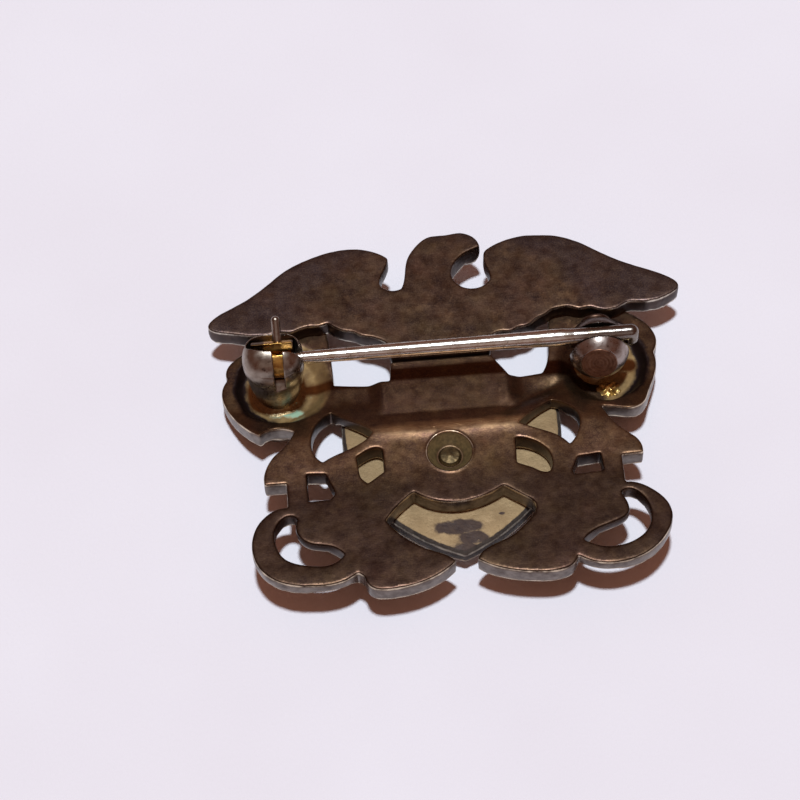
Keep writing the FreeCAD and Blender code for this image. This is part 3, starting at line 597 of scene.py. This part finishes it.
def make_shield():
    sheet = Sheet(back_outlines("shield", 1.6), 0.14, insets=(0.02, 0.055, 0.1, 0.18, 0.25, 0.32, 0.4, 0.5))
    (x, y), depth = sheet.points.T, sheet.depth
    slope = (PLATE_FRONT - ARM_FRONT) / (BEND[1] - BEND[0])
    back = PLATE_FRONT - slope * soft_ramp(y - BEND[0], 0.3) + slope * soft_ramp(y - BEND[1], 0.3)
    back = back - 0.05 - 0.2 * ease(depth, 0.4, 0.0) + 0.03 * ripple(x, y, 1.5, 3, 21)
    radius = 55.0
    dome = radius - np.sqrt(radius**2 - x**2 - (y - 1.0) ** 2)
    rim = ease(depth, 0.75, 0.6)
    chief = ease(y, 3.9, 4.05)
    bar = bell(y - 3.95, 0.22)
    stripe = 0.5 - 0.5 * np.cos(2 * math.pi * x / 1.385)
    flute = 0.3 * ease(stripe, 0.35, 0.6) * (1 - chief)
    fine_lines = 0.07 * np.abs(np.sin(math.pi * y / 0.42)) * chief
    front = dome + (0.12 + flute + fine_lines) * (1 - rim) * (1 - bar) + 0.12 * np.exp(-depth / 0.2)
    piece = sheet.mesh("shield_struck", back, np.maximum(front, 0.01))
    edge = np.exp(-depth / 0.1)
    bevel = ease(depth, 0.42, 0.2)
    # Worn edges with painted edge highlights on the back, and wear round the front's rim.
    sheet.paint("wear_and_highlight", edge, 0.5 * edge + 0.5 * rim * (1 - edge), 0.35)
    sheet.paint("bevel", bevel, 0, 1)
    sheet.paint("smudge", stain(x, y, SMUDGES), 0, 0)
    return piece


# ---- surfaces of fields: negative inside, in millimetres ----


def soft_min(a, b, reach):
    share = np.clip(0.5 + (b - a) / (2 * reach), 0, 1)
    return b + (a - b) * share - reach * share * (1 - share)


def soft_max(a, b, reach):
    return -soft_min(-a, -b, reach)


def shifted(array, start, sizes):
    """The part of array that starts at start[k] on each axis k and has the given sizes."""
    return array[tuple(slice(start[k], start[k] + sizes[k]) for k in range(3))]


def surface(field, low, high, step):
    """The zero level of field(x, y, z) inside a box, as vertices and quads: one vertex in each grid
    cell that the surface crosses, and one quad round each grid edge that it crosses."""
    axes = [np.arange(a, b + step, step) for a, b in zip(low, high)]
    x, y, z = np.meshgrid(*axes, indexing="ij")
    value = field(x, y, z)
    cells = tuple(n - 1 for n in value.shape)
    total, count = np.zeros((*cells, 3)), np.zeros(cells)
    crossed = []
    for axis in range(3):
        sizes = [n - (k == axis) for k, n in enumerate(value.shape)]
        ahead = [int(k == axis) for k in range(3)]
        a, b = shifted(value, (0, 0, 0), sizes), shifted(value, ahead, sizes)
        hit = (a < 0) != (b < 0)
        share = np.where(hit, a / np.where(hit, a - b, 1), 0)
        place = np.stack(np.meshgrid(*[np.arange(n, dtype=float) for n in sizes], indexing="ij"), axis=-1)
        place[..., axis] += share
        crossed.append((hit, a < 0))
        u, v = [k for k in range(3) if k != axis]
        for du, dv in ((0, 0), (1, 0), (0, 1), (1, 1)):
            start = [0, 0, 0]
            start[u], start[v] = du, dv
            part = shifted(hit, start, cells)
            total += shifted(place, start, cells) * part[..., None]
            count += part
    used = count > 0
    number = np.full(cells, -1)
    number[used] = np.arange(used.sum())
    verts = np.array([ax[0] for ax in axes]) + total[used] / count[used][:, None] * step
    faces = []
    for axis, (hit, solid_first) in enumerate(crossed):
        u, v = [k for k in range(3) if k != axis]
        at = np.argwhere(hit)
        at = at[(at[:, u] > 0) & (at[:, v] > 0) & (at[:, u] < cells[u]) & (at[:, v] < cells[v])]
        quad = []
        for du, dv in ((1, 1), (0, 1), (0, 0), (1, 0)):
            cell = at.copy()
            cell[:, u] -= du
            cell[:, v] -= dv
            quad.append(number[tuple(cell.T)])
        quad = np.column_stack(quad)
        flip = solid_first[tuple(at.T)] == (axis == 1)
        quad[flip] = quad[flip][:, ::-1]
        faces.append(quad)
    return verts, np.concatenate(faces)


# ---- findings: CAD solids with worn, rounded edges ----


def softened(node, name, voxel, rounds, dents=0.0, dent_size=1.0):
    """A CAD node's solid, remeshed finely and smoothed so that its edges are worn round."""
    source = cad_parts[node]
    mesh = source.data.copy()
    mesh.transform(Matrix.Scale(1 / MM, 4))
    mesh.materials.clear()
    bm = bmesh.new()
    bm.from_mesh(mesh)
    bmesh.ops.remove_doubles(bm, verts=bm.verts, dist=0.002)
    bm.to_mesh(mesh)
    bm.free()
    rough = add_object(name + "_rough", mesh)
    remesh = rough.modifiers.new("remesh", "REMESH")
    remesh.mode = "VOXEL"
    remesh.voxel_size = voxel
    smooth = rough.modifiers.new("smooth", "SMOOTH")
    smooth.factor = 0.5
    smooth.iterations = rounds
    depsgraph = bpy.context.evaluated_depsgraph_get()
    done = bpy.data.meshes.new_from_object(rough.evaluated_get(depsgraph))
    bpy.data.objects.remove(rough)
    done.name = name
    if dents:
        co, normal = read_vertices(done, "co"), read_vertices(done, "normal")
        co += normal * (dents * cloud(co, dent_size, 3, 31))[:, None]
        done.vertices.foreach_set("co", co.ravel())
    done.transform(Matrix.Scale(MM, 4))
    done.shade_smooth()
    return add_object(name, done)


def turned(name, parts):
    """Pieces of revolution in one mesh. Each has a profile of (radius, height), a base and an axis."""
    verts, faces, count = [], [], 72
    for profile, base, axis in parts:
        axis = Vector(axis).normalized()
        side = axis.orthogonal().normalized()
        other = axis.cross(side)
        start = len(verts)
        for radius, height in profile:
            for i in range(count):
                angle = 2 * math.pi * i / count
                ray = side * math.cos(angle) + other * math.sin(angle)
                verts.append(tuple(Vector(base) + axis * height + ray * max(radius, 0.004)))
        rows = len(profile)
        for k in range(rows - 1):
            for i in range(count):
                a, b = start + k * count + i, start + k * count + (i + 1) % count
                faces.append((a, b, b + count, a + count))
        faces.append(tuple(start + i for i in reversed(range(count))))
        faces.append(tuple(start + (rows - 1) * count + i for i in range(count)))
    verts = np.array(verts)
    verts += 0.012 * np.column_stack([cloud(verts, 0.5, 3, 41 + k) for k in range(3)])
    return make_piece(name, verts, faces)


def barrel_field(x, y, z):
    """The catch's body: a round-ended barrel along X on an egg-shaped foot, about its axis."""
    r = np.hypot(y, z)
    power = 2.8
    barrel = ((np.abs(x) / 2.5) ** power + (r / 2.2) ** power) ** (1 / power) * 2.2 - 2.2
    heights, lengths, widths = zip(*CATCH_FOOT)
    length, width = np.interp(z, heights, lengths), np.interp(z, heights, widths)
    foot = (np.hypot(x / length, y / width) - 1) * width
    foot = np.maximum(foot, np.maximum(-4.95 - z, z - 0.3))
    return soft_min(barrel, foot, 0.35)


def mouth_field(x, y, z):
    """The open mouth on the barrel's top: an oval column that leans towards the eagle's head."""
    lean = math.radians(26.5)
    up = y * math.sin(lean) + z * math.cos(lean)
    across = y * math.cos(lean) - z * math.sin(lean)
    return np.maximum((np.hypot(x / 2.14, across / 1.4) - 1) * 1.4, 0.3 - up)


def housing_field(x, y, z):
    x, y, z = x - CATCH[0], y - CATCH[1], z - CATCH[2]
    r = np.hypot(y, z)
    bore = np.maximum(r - 1.65, np.abs(x) - 1.85)
    slot = np.maximum(np.abs(x - LEVER_SLOT[0]) - LEVER_SLOT[1], np.maximum(y, 0.574 * y - 0.819 * z))
    entry = np.maximum(-x, np.maximum(np.abs(y) - 0.62, -0.62 - z))
    body = barrel_field(x, y, z) + 0.012 * np.sin(1.7 * x + 2.0) * np.sin(1.3 * z)
    for hollow in (bore, mouth_field(x, y, z), slot, entry):
        body = soft_max(body, -hollow, 0.09)
    return body


def make_housing():
    cx, cy, cz = CATCH
    verts, faces = surface(housing_field, (cx - 2.7, cy - 2.5, 1.8), (cx + 2.7, cy + 2.5, 9.3), 0.06)
    return make_piece("catch_housing_spun", verts + (*PLAN, 0), faces.tolist())


def solder_field(x, y, z):
    """Solder that has run out round the two feet, with a lump beside the joint."""
    outside = np.minimum((np.hypot((x - CATCH[0]) / 1.7, (y - CATCH[1]) / 1.9) - 1) * 1.8,
                         np.hypot(x - BALL[0], y - JOINT_Y) - 1.2)
    ripple = 0.05 * np.sin(3.1 * x + 1.0) * np.sin(2.7 * y) + 0.03 * np.sin(7.3 * x) * np.sin(6.1 * y + 2)
    run = 0.42 * np.exp(-np.maximum(outside, 0) / 0.4) - 0.05 + ripple * np.exp(-np.abs(outside) / 0.5)
    lump = 0.55 * bell(np.hypot((x - BALL[0] - 0.75) / 1.0, (y - BALL[1] + 2.3) / 0.8), 0.8)
    beads = 0.1 * np.sin(9 * x) * np.sin(8 * y + 1) * (lump > 0.1)
    height = BOSS_FLOOR + np.maximum(run, lump + beads - 0.06)
    return np.maximum(z - height, np.maximum(1.75 - z, outside - 2.2))


def make_solder():
    verts, faces = [], []
    for x, y in ((CATCH[0], CATCH[1]), (BALL[0], BALL[1])):
        part, quads = surface(solder_field, (x - 3.6, y - 3.8, 1.65), (x + 3.6, y + 3.8, 2.8), 0.06)
        faces += (quads + sum(len(v) for v in verts)).tolist()
        verts.append(part)
    verts = np.concatenate(verts)
    piece = make_piece("solder_run", verts + (*PLAN, 0), faces)
    left = ease(-verts[:, 0], 0.0, 1.0)
    spot = bell(np.hypot((verts[:, 0] + 13.2) / 1.3, (verts[:, 1] - 6.9) / 0.7), 1.0)
    paint(piece, "mint", left * spot)
    lump = bell(np.hypot(verts[:, 0] - BALL[0] - 0.75, verts[:, 1] - BALL[1] + 2.3), 1.0)
    paint(piece, "gold", lump)
    return piece


def thicken_pin(pin):
    """Give the pin its long taper, from the joint to the catch."""
    co = vertices_mm(pin)
    places, radii = zip(*PIN_RADII)
    rel = co - (0, CATCH[1] + PLAN[1], CATCH[2])
    r = np.hypot(rel[:, 1], rel[:, 2])
    x = co[:, 0] - PLAN[0]
    inside = (x > places[0]) & (x < places[-1]) & (r > 0.3)
    scale = np.where(inside, np.interp(x, places, radii) / np.maximum(r, 0.3), 1)[:, None]
    co[:, 1:] += rel[:, 1:] * (scale - 1)
    move_vertices(pin, co)


def rivet_head(radius, height):
    """A spun rivet head's profile: a rounded edge and shallow rings round a low middle."""
    profile = [(radius * 0.96, -0.25), (radius, 0.0)]
    profile += [(radius - 0.07 * (1 - math.cos(t)), height * math.sin(t)) for t in (0.4, 0.9, 1.5)]
    for i in range(40):
        r = (radius - 0.07) * (1 - (i + 1) / 40)
        rings = 0.006 * math.cos(2 * math.pi * r / 0.3) * min(1.0, r / 0.2)
        profile.append((r, height + rings - 0.05 * (1 - (r / radius) ** 2)))
    return profile


def make_joint_rivet():
    x, y, z = np.array(BALL[:3]) + (*PLAN, 0)
    facet = np.array((x, y, z)) + FACING * FACET_DISTANCE
    pivot = np.array(((x, y - 1.7, PIVOT_HEIGHT), (x, y + FACET_DISTANCE, PIVOT_HEIGHT - 0.3)))
    shank = [(0.5, 0.0), (0.5, pivot[1][1] - pivot[0][1])]
    return turned("joint_rivet_spun", (
        (rivet_head(FACET_RADIUS - 0.05, 0.06), facet, FACING),
        (shank, pivot[0], (0, 1, 0)),
        (rivet_head(1.3, 0.14), pivot[1], (0, 1, 0))))


def face_off_ball(piece):
    """Round both of the joint's cheeks, and give the near one a flat facet that tilts up."""
    centre = np.array(BALL[:3]) + (*PLAN, 0)
    co = vertices_mm(piece)
    rel = co - centre
    away = np.linalg.norm(rel, axis=1)
    ray = rel / away[:, None]
    leaning = np.maximum(ray @ FACING, ray[:, 1])
    reach = np.minimum(BALL[3], FACET_DISTANCE / np.maximum(leaning, 1e-3))
    beyond = co[:, 1] - JOINT_Y - PLAN[1]
    across = np.abs(beyond)
    outer = (away > 2.1) | ((across > 1.85) & (np.hypot(rel[:, 0], rel[:, 2] - 0.85) > 0.6))
    cheeks = (across > 0.75) & outer & (rel[:, 2] > -1.9)
    co[cheeks] = (centre + ray * reach[:, None])[cheeks]
    # Painted shade: the far cheek is darkened.
    paint(piece, "painted_shade", 0.75 * ease(beyond, 0.4, 0.9))
    move_vertices(piece, co)


def read_vertices(mesh, name):
    values = np.zeros(len(mesh.vertices) * 3)
    mesh.vertices.foreach_get(name, values)
    return values.reshape(-1, 3)


def vertices_mm(piece):
    return read_vertices(piece.data, "co") / MM


def move_vertices(piece, co):
    piece.data.vertices.foreach_set("co", (co * MM).ravel())
    piece.data.update()


# ---- materials ----


def rgb(red, green, blue):
    """A colour given as it looks on a screen, 0 to 255, as linear numbers."""
    shares = (red / 255, green / 255, blue / 255)
    return (*(c / 12.92 if c <= 10 / 255 else ((c + 0.055) / 1.055) ** 2.4 for c in shares), 1.0)


class Finish:
    """A material's node graph. Lengths are in millimetres."""

    def __init__(self, name, metallic=1.0):
        self.material = bpy.data.materials.new(name)
        self.material.use_nodes = True
        self.tree = self.material.node_tree
        self.shader = next(n for n in self.tree.nodes if n.type == "BSDF_PRINCIPLED")
        self.shader.inputs["Metallic"].default_value = metallic
        self.place = self.node("TexCoord", {}).outputs["Object"]

    def feed(self, socket, value):
        if isinstance(value, bpy.types.NodeSocket):
            self.tree.links.new(value, socket)
        else:
            socket.default_value = value

    def node(self, kind, inputs, **settings):
        """A new node, with its settings made and its inputs fed."""
        node = self.tree.nodes.new("ShaderNode" + kind)
        for name, value in settings.items():
            setattr(node, name, value)
        for name, value in inputs.items():
            self.feed(node.inputs[name], value)
        return node

    def noise(self, size, detail=4, stretch=(1, 1, 1), roughness=0.6, low=0.3, high=0.7):
        """Noise with lumps of the given size, spread out to run from 0 to 1."""
        scale = [1 / (MM * size * s) for s in stretch]
        mapping = self.node("Mapping", {"Scale": scale, "Vector": self.place})
        texture = self.node("TexNoise", {"Scale": 1.0, "Detail": detail, "Roughness": roughness,
                                         "Vector": mapping.outputs["Vector"]})
        return self.spread(texture.outputs["Fac"], low, high)

    def spread(self, value, low, high, to_low=0.0, to_high=1.0):
        ends = {"From Min": low, "From Max": high, "To Min": to_low, "To Max": to_high}
        return self.node("MapRange", {**ends, "Value": value}).outputs["Result"]

    def painted(self, name):
        return self.node("Attribute", {}, attribute_name=name).outputs["Fac"]

    def broken(self, mask, size, low, high):
        """A painted mask, given as a socket or by its name, with its border broken up by noise."""
        mask = self.painted(mask) if isinstance(mask, str) else mask
        speckle = self.noise(size, 5, low=0.2, high=0.8)
        return self.spread(self.times(mask, self.spread(speckle, 0, 1, 0.45, 1.45)), low, high)

    def times(self, a, b):
        return self.node("Math", {0: a, 1: b}, operation="MULTIPLY", use_clamp=True).outputs[0]

    def mix(self, share, first, second, kind="RGBA"):
        """A mix of two colours. Each comes from a node, or as it looks on a screen, 0 to 255."""
        first, second = (rgb(*c) if isinstance(c, tuple) else c for c in (first, second))
        node = self.node("Mix", {"Factor": share, "A": first, "B": second}, data_type=kind)
        return node.outputs["Result"]

    def blend(self, share, first, second):
        """A number between two others."""
        return self.mix(share, first, second, "FLOAT")

    def patchy(self, size, detail, first, second):
        """Two colours in patches of the given size."""
        return self.mix(self.noise(size, detail), first, second)

    def veil(self, colour, mask, share, tone):
        """A colour with a share of another tone laid over it where mask is 1."""
        return self.mix(self.times(mask, share), colour, tone)

    def bump(self, height, depth):
        """Add relief of the given depth in millimetres."""
        node = self.node("Bump", {"Distance": depth * MM, "Height": height})
        normal = self.shader.inputs["Normal"]
        if normal.is_linked:
            self.feed(node.inputs["Normal"], normal.links[0].from_socket)
        self.feed(normal, node.outputs["Normal"])

    def done(self, colour, roughness):
        self.feed(self.shader.inputs["Base Color"], colour)
        self.feed(self.shader.inputs["Roughness"], roughness)
        return self.material


def plate_finish():
    f = Finish("tarnished_gold_filled", 0.9)
    colour = f.patchy(5.0, 3, (110, 76, 60), (108, 84, 54))
    colour = f.veil(colour, f.noise(1.5, 7, roughness=0.75), 0.92, (54, 36, 34))
    pale = f.noise(2.2, 7, roughness=0.8, low=0.55, high=0.8)
    colour = f.veil(colour, pale, 0.65, (156, 120, 84))
    grain = f.noise(0.12, 3, low=0.45, high=0.75)
    colour = f.veil(colour, grain, 0.4, (146, 114, 80))
    streaks = f.noise(0.35, 4, (5, 0.6, 1), low=0.55, high=0.8)
    colour = f.veil(colour, streaks, 0.2, (150, 118, 80))
    # Darker towards the bottom, and painted shade beyond the crest.
    colour = f.veil(colour, f.painted("low"), 0.68, (32, 20, 18))
    # A paler painted highlight along the crest, and rubbing on the front.
    rubbed_and_highlight = f.broken("rubbed_and_highlight", 1.0, 0.35, 1.1)
    colour = f.veil(colour, rubbed_and_highlight, 0.85, (190, 152, 112))
    cup = f.painted("cup")
    gold = f.patchy(1.4, 5, (178, 148, 98), (128, 104, 70))
    colour = f.mix(f.broken(cup, 1.5, 0.35, 0.8), colour, gold)
    # Dark on the dishes' outward walls: tarnish, with painted shade over it.
    colour = f.mix(f.broken("cup_wall_tarnish_and_shade", 1.0, 0.25, 0.6), colour, (40, 28, 26))
    colour = f.mix(f.painted("cone"), colour, f.patchy(0.3, 4, (126, 106, 70), (88, 76, 50)))
    metallic = f.blend(f.times(cup, 0.6), 0.9, 0.45)
    f.feed(f.shader.inputs["Metallic"], f.blend(f.painted("cone"), metallic, 0.25))
    # Walls: painted shade on the walls inside the windows, and a lighter grey on the outer walls as painted
    # light bounced from the floor.
    shaded_window_wall = f.patchy(0.9, 4, (76, 56, 46), (48, 36, 32))
    silver = f.patchy(0.8, 5, (136, 126, 118), (82, 70, 64))
    colour = f.mix(f.painted("wall"), colour, f.mix(f.painted("outer"), shaded_window_wall, silver))
    # Pale worn edges, with painted highlights along the edges that catch the light.
    wear_and_highlight = f.broken("wear_and_highlight", 1.0, 0.6, 1.15)
    colour = f.mix(wear_and_highlight, colour, (238, 220, 192))
    mint = f.broken("mint", 0.35, 0.3, 0.6)
    colour = f.veil(colour, mint, 0.85, (170, 206, 180))
    f.bump(f.noise(0.14, 4, (4, 0.8, 1), low=0.25, high=0.75), 0.0015)
    f.bump(f.noise(0.9, 5), 0.006)
    rough = f.blend(wear_and_highlight, f.spread(f.noise(0.9, 6), 0, 1, 0.28, 0.42), 0.22)
    return f.done(colour, f.blend(mint, rough, 0.8))


def eagle_finish():
    f = Finish("tarnished_silver", 0.9)
    colour = f.patchy(4.5, 3, (102, 72, 58), (98, 78, 54))
    colour = f.mix(f.noise(1.6, 7, roughness=0.75), colour, (48, 33, 32))
    pale = f.noise(2.6, 7, roughness=0.8, low=0.55, high=0.8)
    colour = f.veil(colour, pale, 0.8, (148, 116, 84))
    purple = f.broken("purple", 2.5, 0.4, 1.0)
    colour = f.veil(colour, purple, 0.7, (62, 50, 52))
    grain = f.noise(0.12, 3, low=0.45, high=0.75)
    colour = f.veil(colour, grain, 0.35, (140, 114, 92))
    streaks = f.noise(0.35, 4, (5, 0.7, 1), low=0.55, high=0.8)
    colour = f.veil(colour, streaks, 0.15, (146, 122, 100))
    # Walls: painted shade on most of the eagle's walls, and a lighter grey on the wing tips' walls as
    # painted light bounced from the floor.
    silver = f.patchy(0.8, 5, (118, 108, 102), (74, 64, 60))
    shaded_wall = f.patchy(0.7, 4, (76, 60, 54), (50, 40, 38))
    colour = f.mix(f.painted("wall"), colour, f.mix(f.painted("outer"), shaded_wall, silver))
    front = f.spread(f.painted("front"), 0.9, 1.0)
    colour = f.mix(front, colour, f.patchy(2.0, 4, (188, 180, 170), (110, 98, 88)))
    # Pale worn edges, with painted highlights along the edges that catch the light.
    wear_and_highlight = f.broken("wear_and_highlight", 1.0, 0.6, 1.15)
    colour = f.mix(wear_and_highlight, colour, (240, 230, 212))
    f.bump(f.noise(0.14, 4, (4, 0.8, 1), low=0.25, high=0.75), 0.0015)
    f.bump(f.noise(0.8, 5), 0.006)
    rough = f.spread(f.noise(0.9, 6), 0, 1, 0.29, 0.45)
    return f.done(colour, f.blend(wear_and_highlight, rough, 0.22))


def shield_finish():
    f = Finish("lacquered_silver", 0.35)
    khaki = f.patchy(1.8, 4, (176, 148, 108), (150, 124, 88))
    specks = f.noise(0.12, 3, low=0.60, high=0.72)
    khaki = f.veil(khaki, specks, 0.6, (92, 80, 56))
    smudge = f.broken("smudge", 0.8, 0.35, 0.55)
    colour = f.mix(smudge, khaki, f.patchy(0.4, 4, (58, 42, 38), (84, 66, 56)))
    bevel = f.broken("bevel", 0.7, 0.45, 0.7)
    colour = f.mix(bevel, colour, f.patchy(0.6, 4, (82, 70, 62), (52, 44, 40)))
    front = f.spread(f.painted("front"), 0.9, 1.0)
    colour = f.mix(front, colour, f.patchy(1.5, 4, (196, 190, 182), (120, 110, 100)))
    # Pale worn edges, with painted highlights along the edges that catch the light.
    colour = f.mix(f.broken("wear_and_highlight", 0.9, 0.5, 1.1), colour, (196, 186, 170))
    f.bump(f.noise(0.25, 5), 0.03)
    rough = f.blend(front, f.spread(f.noise(0.8, 4), 0, 1, 0.55, 0.75), 0.36)
    return f.done(colour, rough)


def finding_finish(name, clean, stained, roughness, size=0.9, dirt_and_shade=DIRT_AND_SHADE, scratch=(1, 1, 1)):
    """Polished metal with soft stains, fine scratches and a little grime, darkened to the grime's colour as
    painted shade where the mesh is painted for it.
    """
    f = Finish(name)
    colour = f.mix(f.noise(size, 4, low=0.4, high=0.75), clean, stained)
    colour = f.mix(f.noise(size * 0.5, 5, low=0.62, high=0.75), colour, dirt_and_shade)
    # Painted shade: darkened towards the grime colour where it is painted.
    colour = f.mix(f.painted("painted_shade"), colour, dirt_and_shade)
    f.bump(f.noise(0.1, 4, scratch, low=0.25, high=0.75), 0.0015)
    f.bump(f.noise(0.6, 3), 0.008)
    return f.done(colour, f.spread(f.noise(0.5, 4), 0, 1, *roughness))


def solder_finish():
    f = Finish("solder")
    colour = f.patchy(0.8, 4, (150, 122, 78), (112, 90, 58))
    gold = f.broken("gold", 0.4, 0.3, 0.7)
    f.feed(f.shader.inputs["Metallic"], f.blend(gold, 0.45, 0.95))
    colour = f.mix(gold, colour, f.patchy(0.3, 4, (238, 208, 130), (176, 136, 62)))
    mint = f.noise(0.9, 5, low=0.56, high=0.68)
    colour = f.mix(f.times(mint, f.painted("mint")), colour, (176, 226, 200))
    f.bump(f.noise(0.3, 5), 0.02)
    return f.done(colour, f.spread(f.noise(0.5, 4), 0, 1, 0.22, 0.42))


# ---- stage ----


def paper_finish():
    f = Finish("paper", 0.0)
    shade = f.patchy(30.0, 3, (242, 238, 243), (238, 233, 238))
    f.bump(f.noise(0.5, 5), 0.02)
    f.shader.inputs["Specular IOR Level"].default_value = 0.1
    return f.done(shade, 0.9)


def add_floor():
    size = 600.0
    corners = [(x * size, y * size, 0.0) for x, y in ((-1, -1), (1, -1), (1, 1), (-1, 1))]
    floor = make_piece("paper_sheet", corners, [(0, 1, 2, 3)])
    floor.data.materials.append(paper_finish())


def add_light(name, place, size, power, colour=(1, 1, 1), shape="DISK", diffuse=True):
    data = bpy.data.lights.new(name, "AREA")
    data.shape = shape
    data.size = size[0]
    if shape == "RECTANGLE":
        data.size_y = size[1]
    data.energy = power
    data.color = colour
    light = add_object(name, data)
    light.location = place
    light.rotation_mode = "QUATERNION"
    light.rotation_quaternion = Vector(place).to_track_quat("Z", "Y")
    light.visible_diffuse = diffuse
    light.visible_camera = False
    return light


def add_lights():
    add_light("key", (0.0, 0.03, 0.9), (0.085, 0), 7.5, (0.82, 0.92, 1.0))
    add_light("front_card", (0.0, -0.55, 0.45), (0.7, 0.35), 0.25, shape="RECTANGLE", diffuse=False)
    world = bpy.data.worlds.new("studio")
    world.use_nodes = True
    background = world.node_tree.nodes["Background"]
    background.inputs["Color"].default_value = (1.0, 0.43, 0.28, 1.0)
    background.inputs["Strength"].default_value = 0.2
    bpy.context.scene.world = world


def add_camera():
    """The camera's turn, height and tilt, and the point on the badge's back at the middle of the view."""
    azimuth, elevation, roll = math.radians(-1.09), math.radians(57.0), math.radians(-3.6)
    target = Vector((-4.47, 0.33, BACK)) * MM
    distance = 185.57 * MM
    back = Vector((math.sin(azimuth) * math.cos(elevation), -math.cos(azimuth) * math.cos(elevation),
                   math.sin(elevation)))
    right = Vector((math.cos(azimuth), math.sin(azimuth), 0))
    up = back.cross(right)
    right, up = (right * math.cos(roll) + up * math.sin(roll), up * math.cos(roll) - right * math.sin(roll))
    data = bpy.data.cameras.new("camera")
    data.lens, data.sensor_width = 100.0, 36.0
    data.clip_start, data.clip_end = 0.01, 10.0
    camera = add_object("camera", data)
    turn = Matrix((right, up, back)).transposed().to_4x4()
    camera.matrix_world = Matrix.Translation(target + back * distance) @ turn
    bpy.context.scene.camera = camera


# ---- assembly ----


def make_findings():
    pin = softened("pin_stem", "pin_stem_drawn", 0.045, 3)
    thicken_pin(pin)
    # Painted shade on the pin's end, where it runs into the joint.
    paint(pin, "painted_shade", 0.7 * ease(vertices_mm(pin)[:, 0] - PLAN[0], 9.5, 12.0))
    drawn = (0.2, 1, 1)  # the drawing marks run along the pin
    skin = finding_finish("polished_pin", (208, 203, 196), (170, 156, 134), (0.18, 0.3), 1.0, DIRT_AND_SHADE, drawn)
    finish_piece(pin, "pin", skin, "finding_silver", "pin_stem")
    ball = softened("joint_ball", "joint_ball_turned", 0.045, 3)
    face_off_ball(ball)
    skin = finding_finish("polished_joint", (164, 153, 146), (126, 109, 98), (0.24, 0.38), 0.7)
    finish_piece(ball, "badge", skin, "finding_silver", "joint_ball")
    skin = finding_finish("brown_rivet", (146, 110, 90), (104, 74, 58), (0.34, 0.5), 0.6)
    rivet = make_joint_rivet()
    # Painted shade on the rivet's far head.
    paint(rivet, "painted_shade", 0.85 * ease(vertices_mm(rivet)[:, 1] - JOINT_Y - PLAN[1], 0.4, 0.9))
    finish_piece(rivet, "badge", skin, "finding_silver", "joint_rivet")
    catch_skin = finding_finish("catch_silver", (150, 138, 126), (100, 84, 72), (0.24, 0.4), 1.3)
    finish_piece(make_housing(), "badge", catch_skin, "finding_silver", "catch_housing")
    sleeve = softened("catch_sleeve", "catch_sleeve_turned", 0.05, 3, 0.012, 0.8)
    # Painted shade on the sleeve's two ends, where they run into the barrel.
    along = np.abs(vertices_mm(sleeve)[:, 0] - PLAN[0] - CATCH[0] - LEVER_SLOT[0])
    paint(sleeve, "painted_shade", 0.9 * ease(along, 1.0, 1.25))
    skin = finding_finish("gold_sleeve", (190, 146, 78), (124, 88, 48), (0.24, 0.4), 0.8, (62, 42, 28))
    finish_piece(sleeve, "sleeve", skin, "finding_gold", "catch_sleeve")
    lever = softened("catch_lever", "catch_lever_turned", 0.03, 3, 0.008, 0.5)
    finish_piece(lever, "sleeve", catch_skin, "finding_silver", "catch_lever")
    centre = softened("centre_rivet", "centre_rivet_peened", 0.04, 4, 0.015, 0.5)
    skin = finding_finish("peened_rivet", (94, 78, 54), (60, 52, 38), (0.36, 0.5), 0.4)
    finish_piece(centre, "badge", skin, "gold_filled", "centre_rivet")
    finish_piece(make_solder(), "badge", solder_finish(), "solder", "solder_fillets")


def main():
    bpy.context.scene.view_settings.view_transform = "Standard"
    finish_piece(make_anchors_plate(), "badge", plate_finish(), "gold_filled", "anchors_plate")
    finish_piece(make_eagle(), "badge", eagle_finish(), "silver", "eagle")
    finish_piece(make_shield(), "badge", shield_finish(), "silver", "shield")
    make_findings()
    add_floor()
    add_lights()
    add_camera()


main()
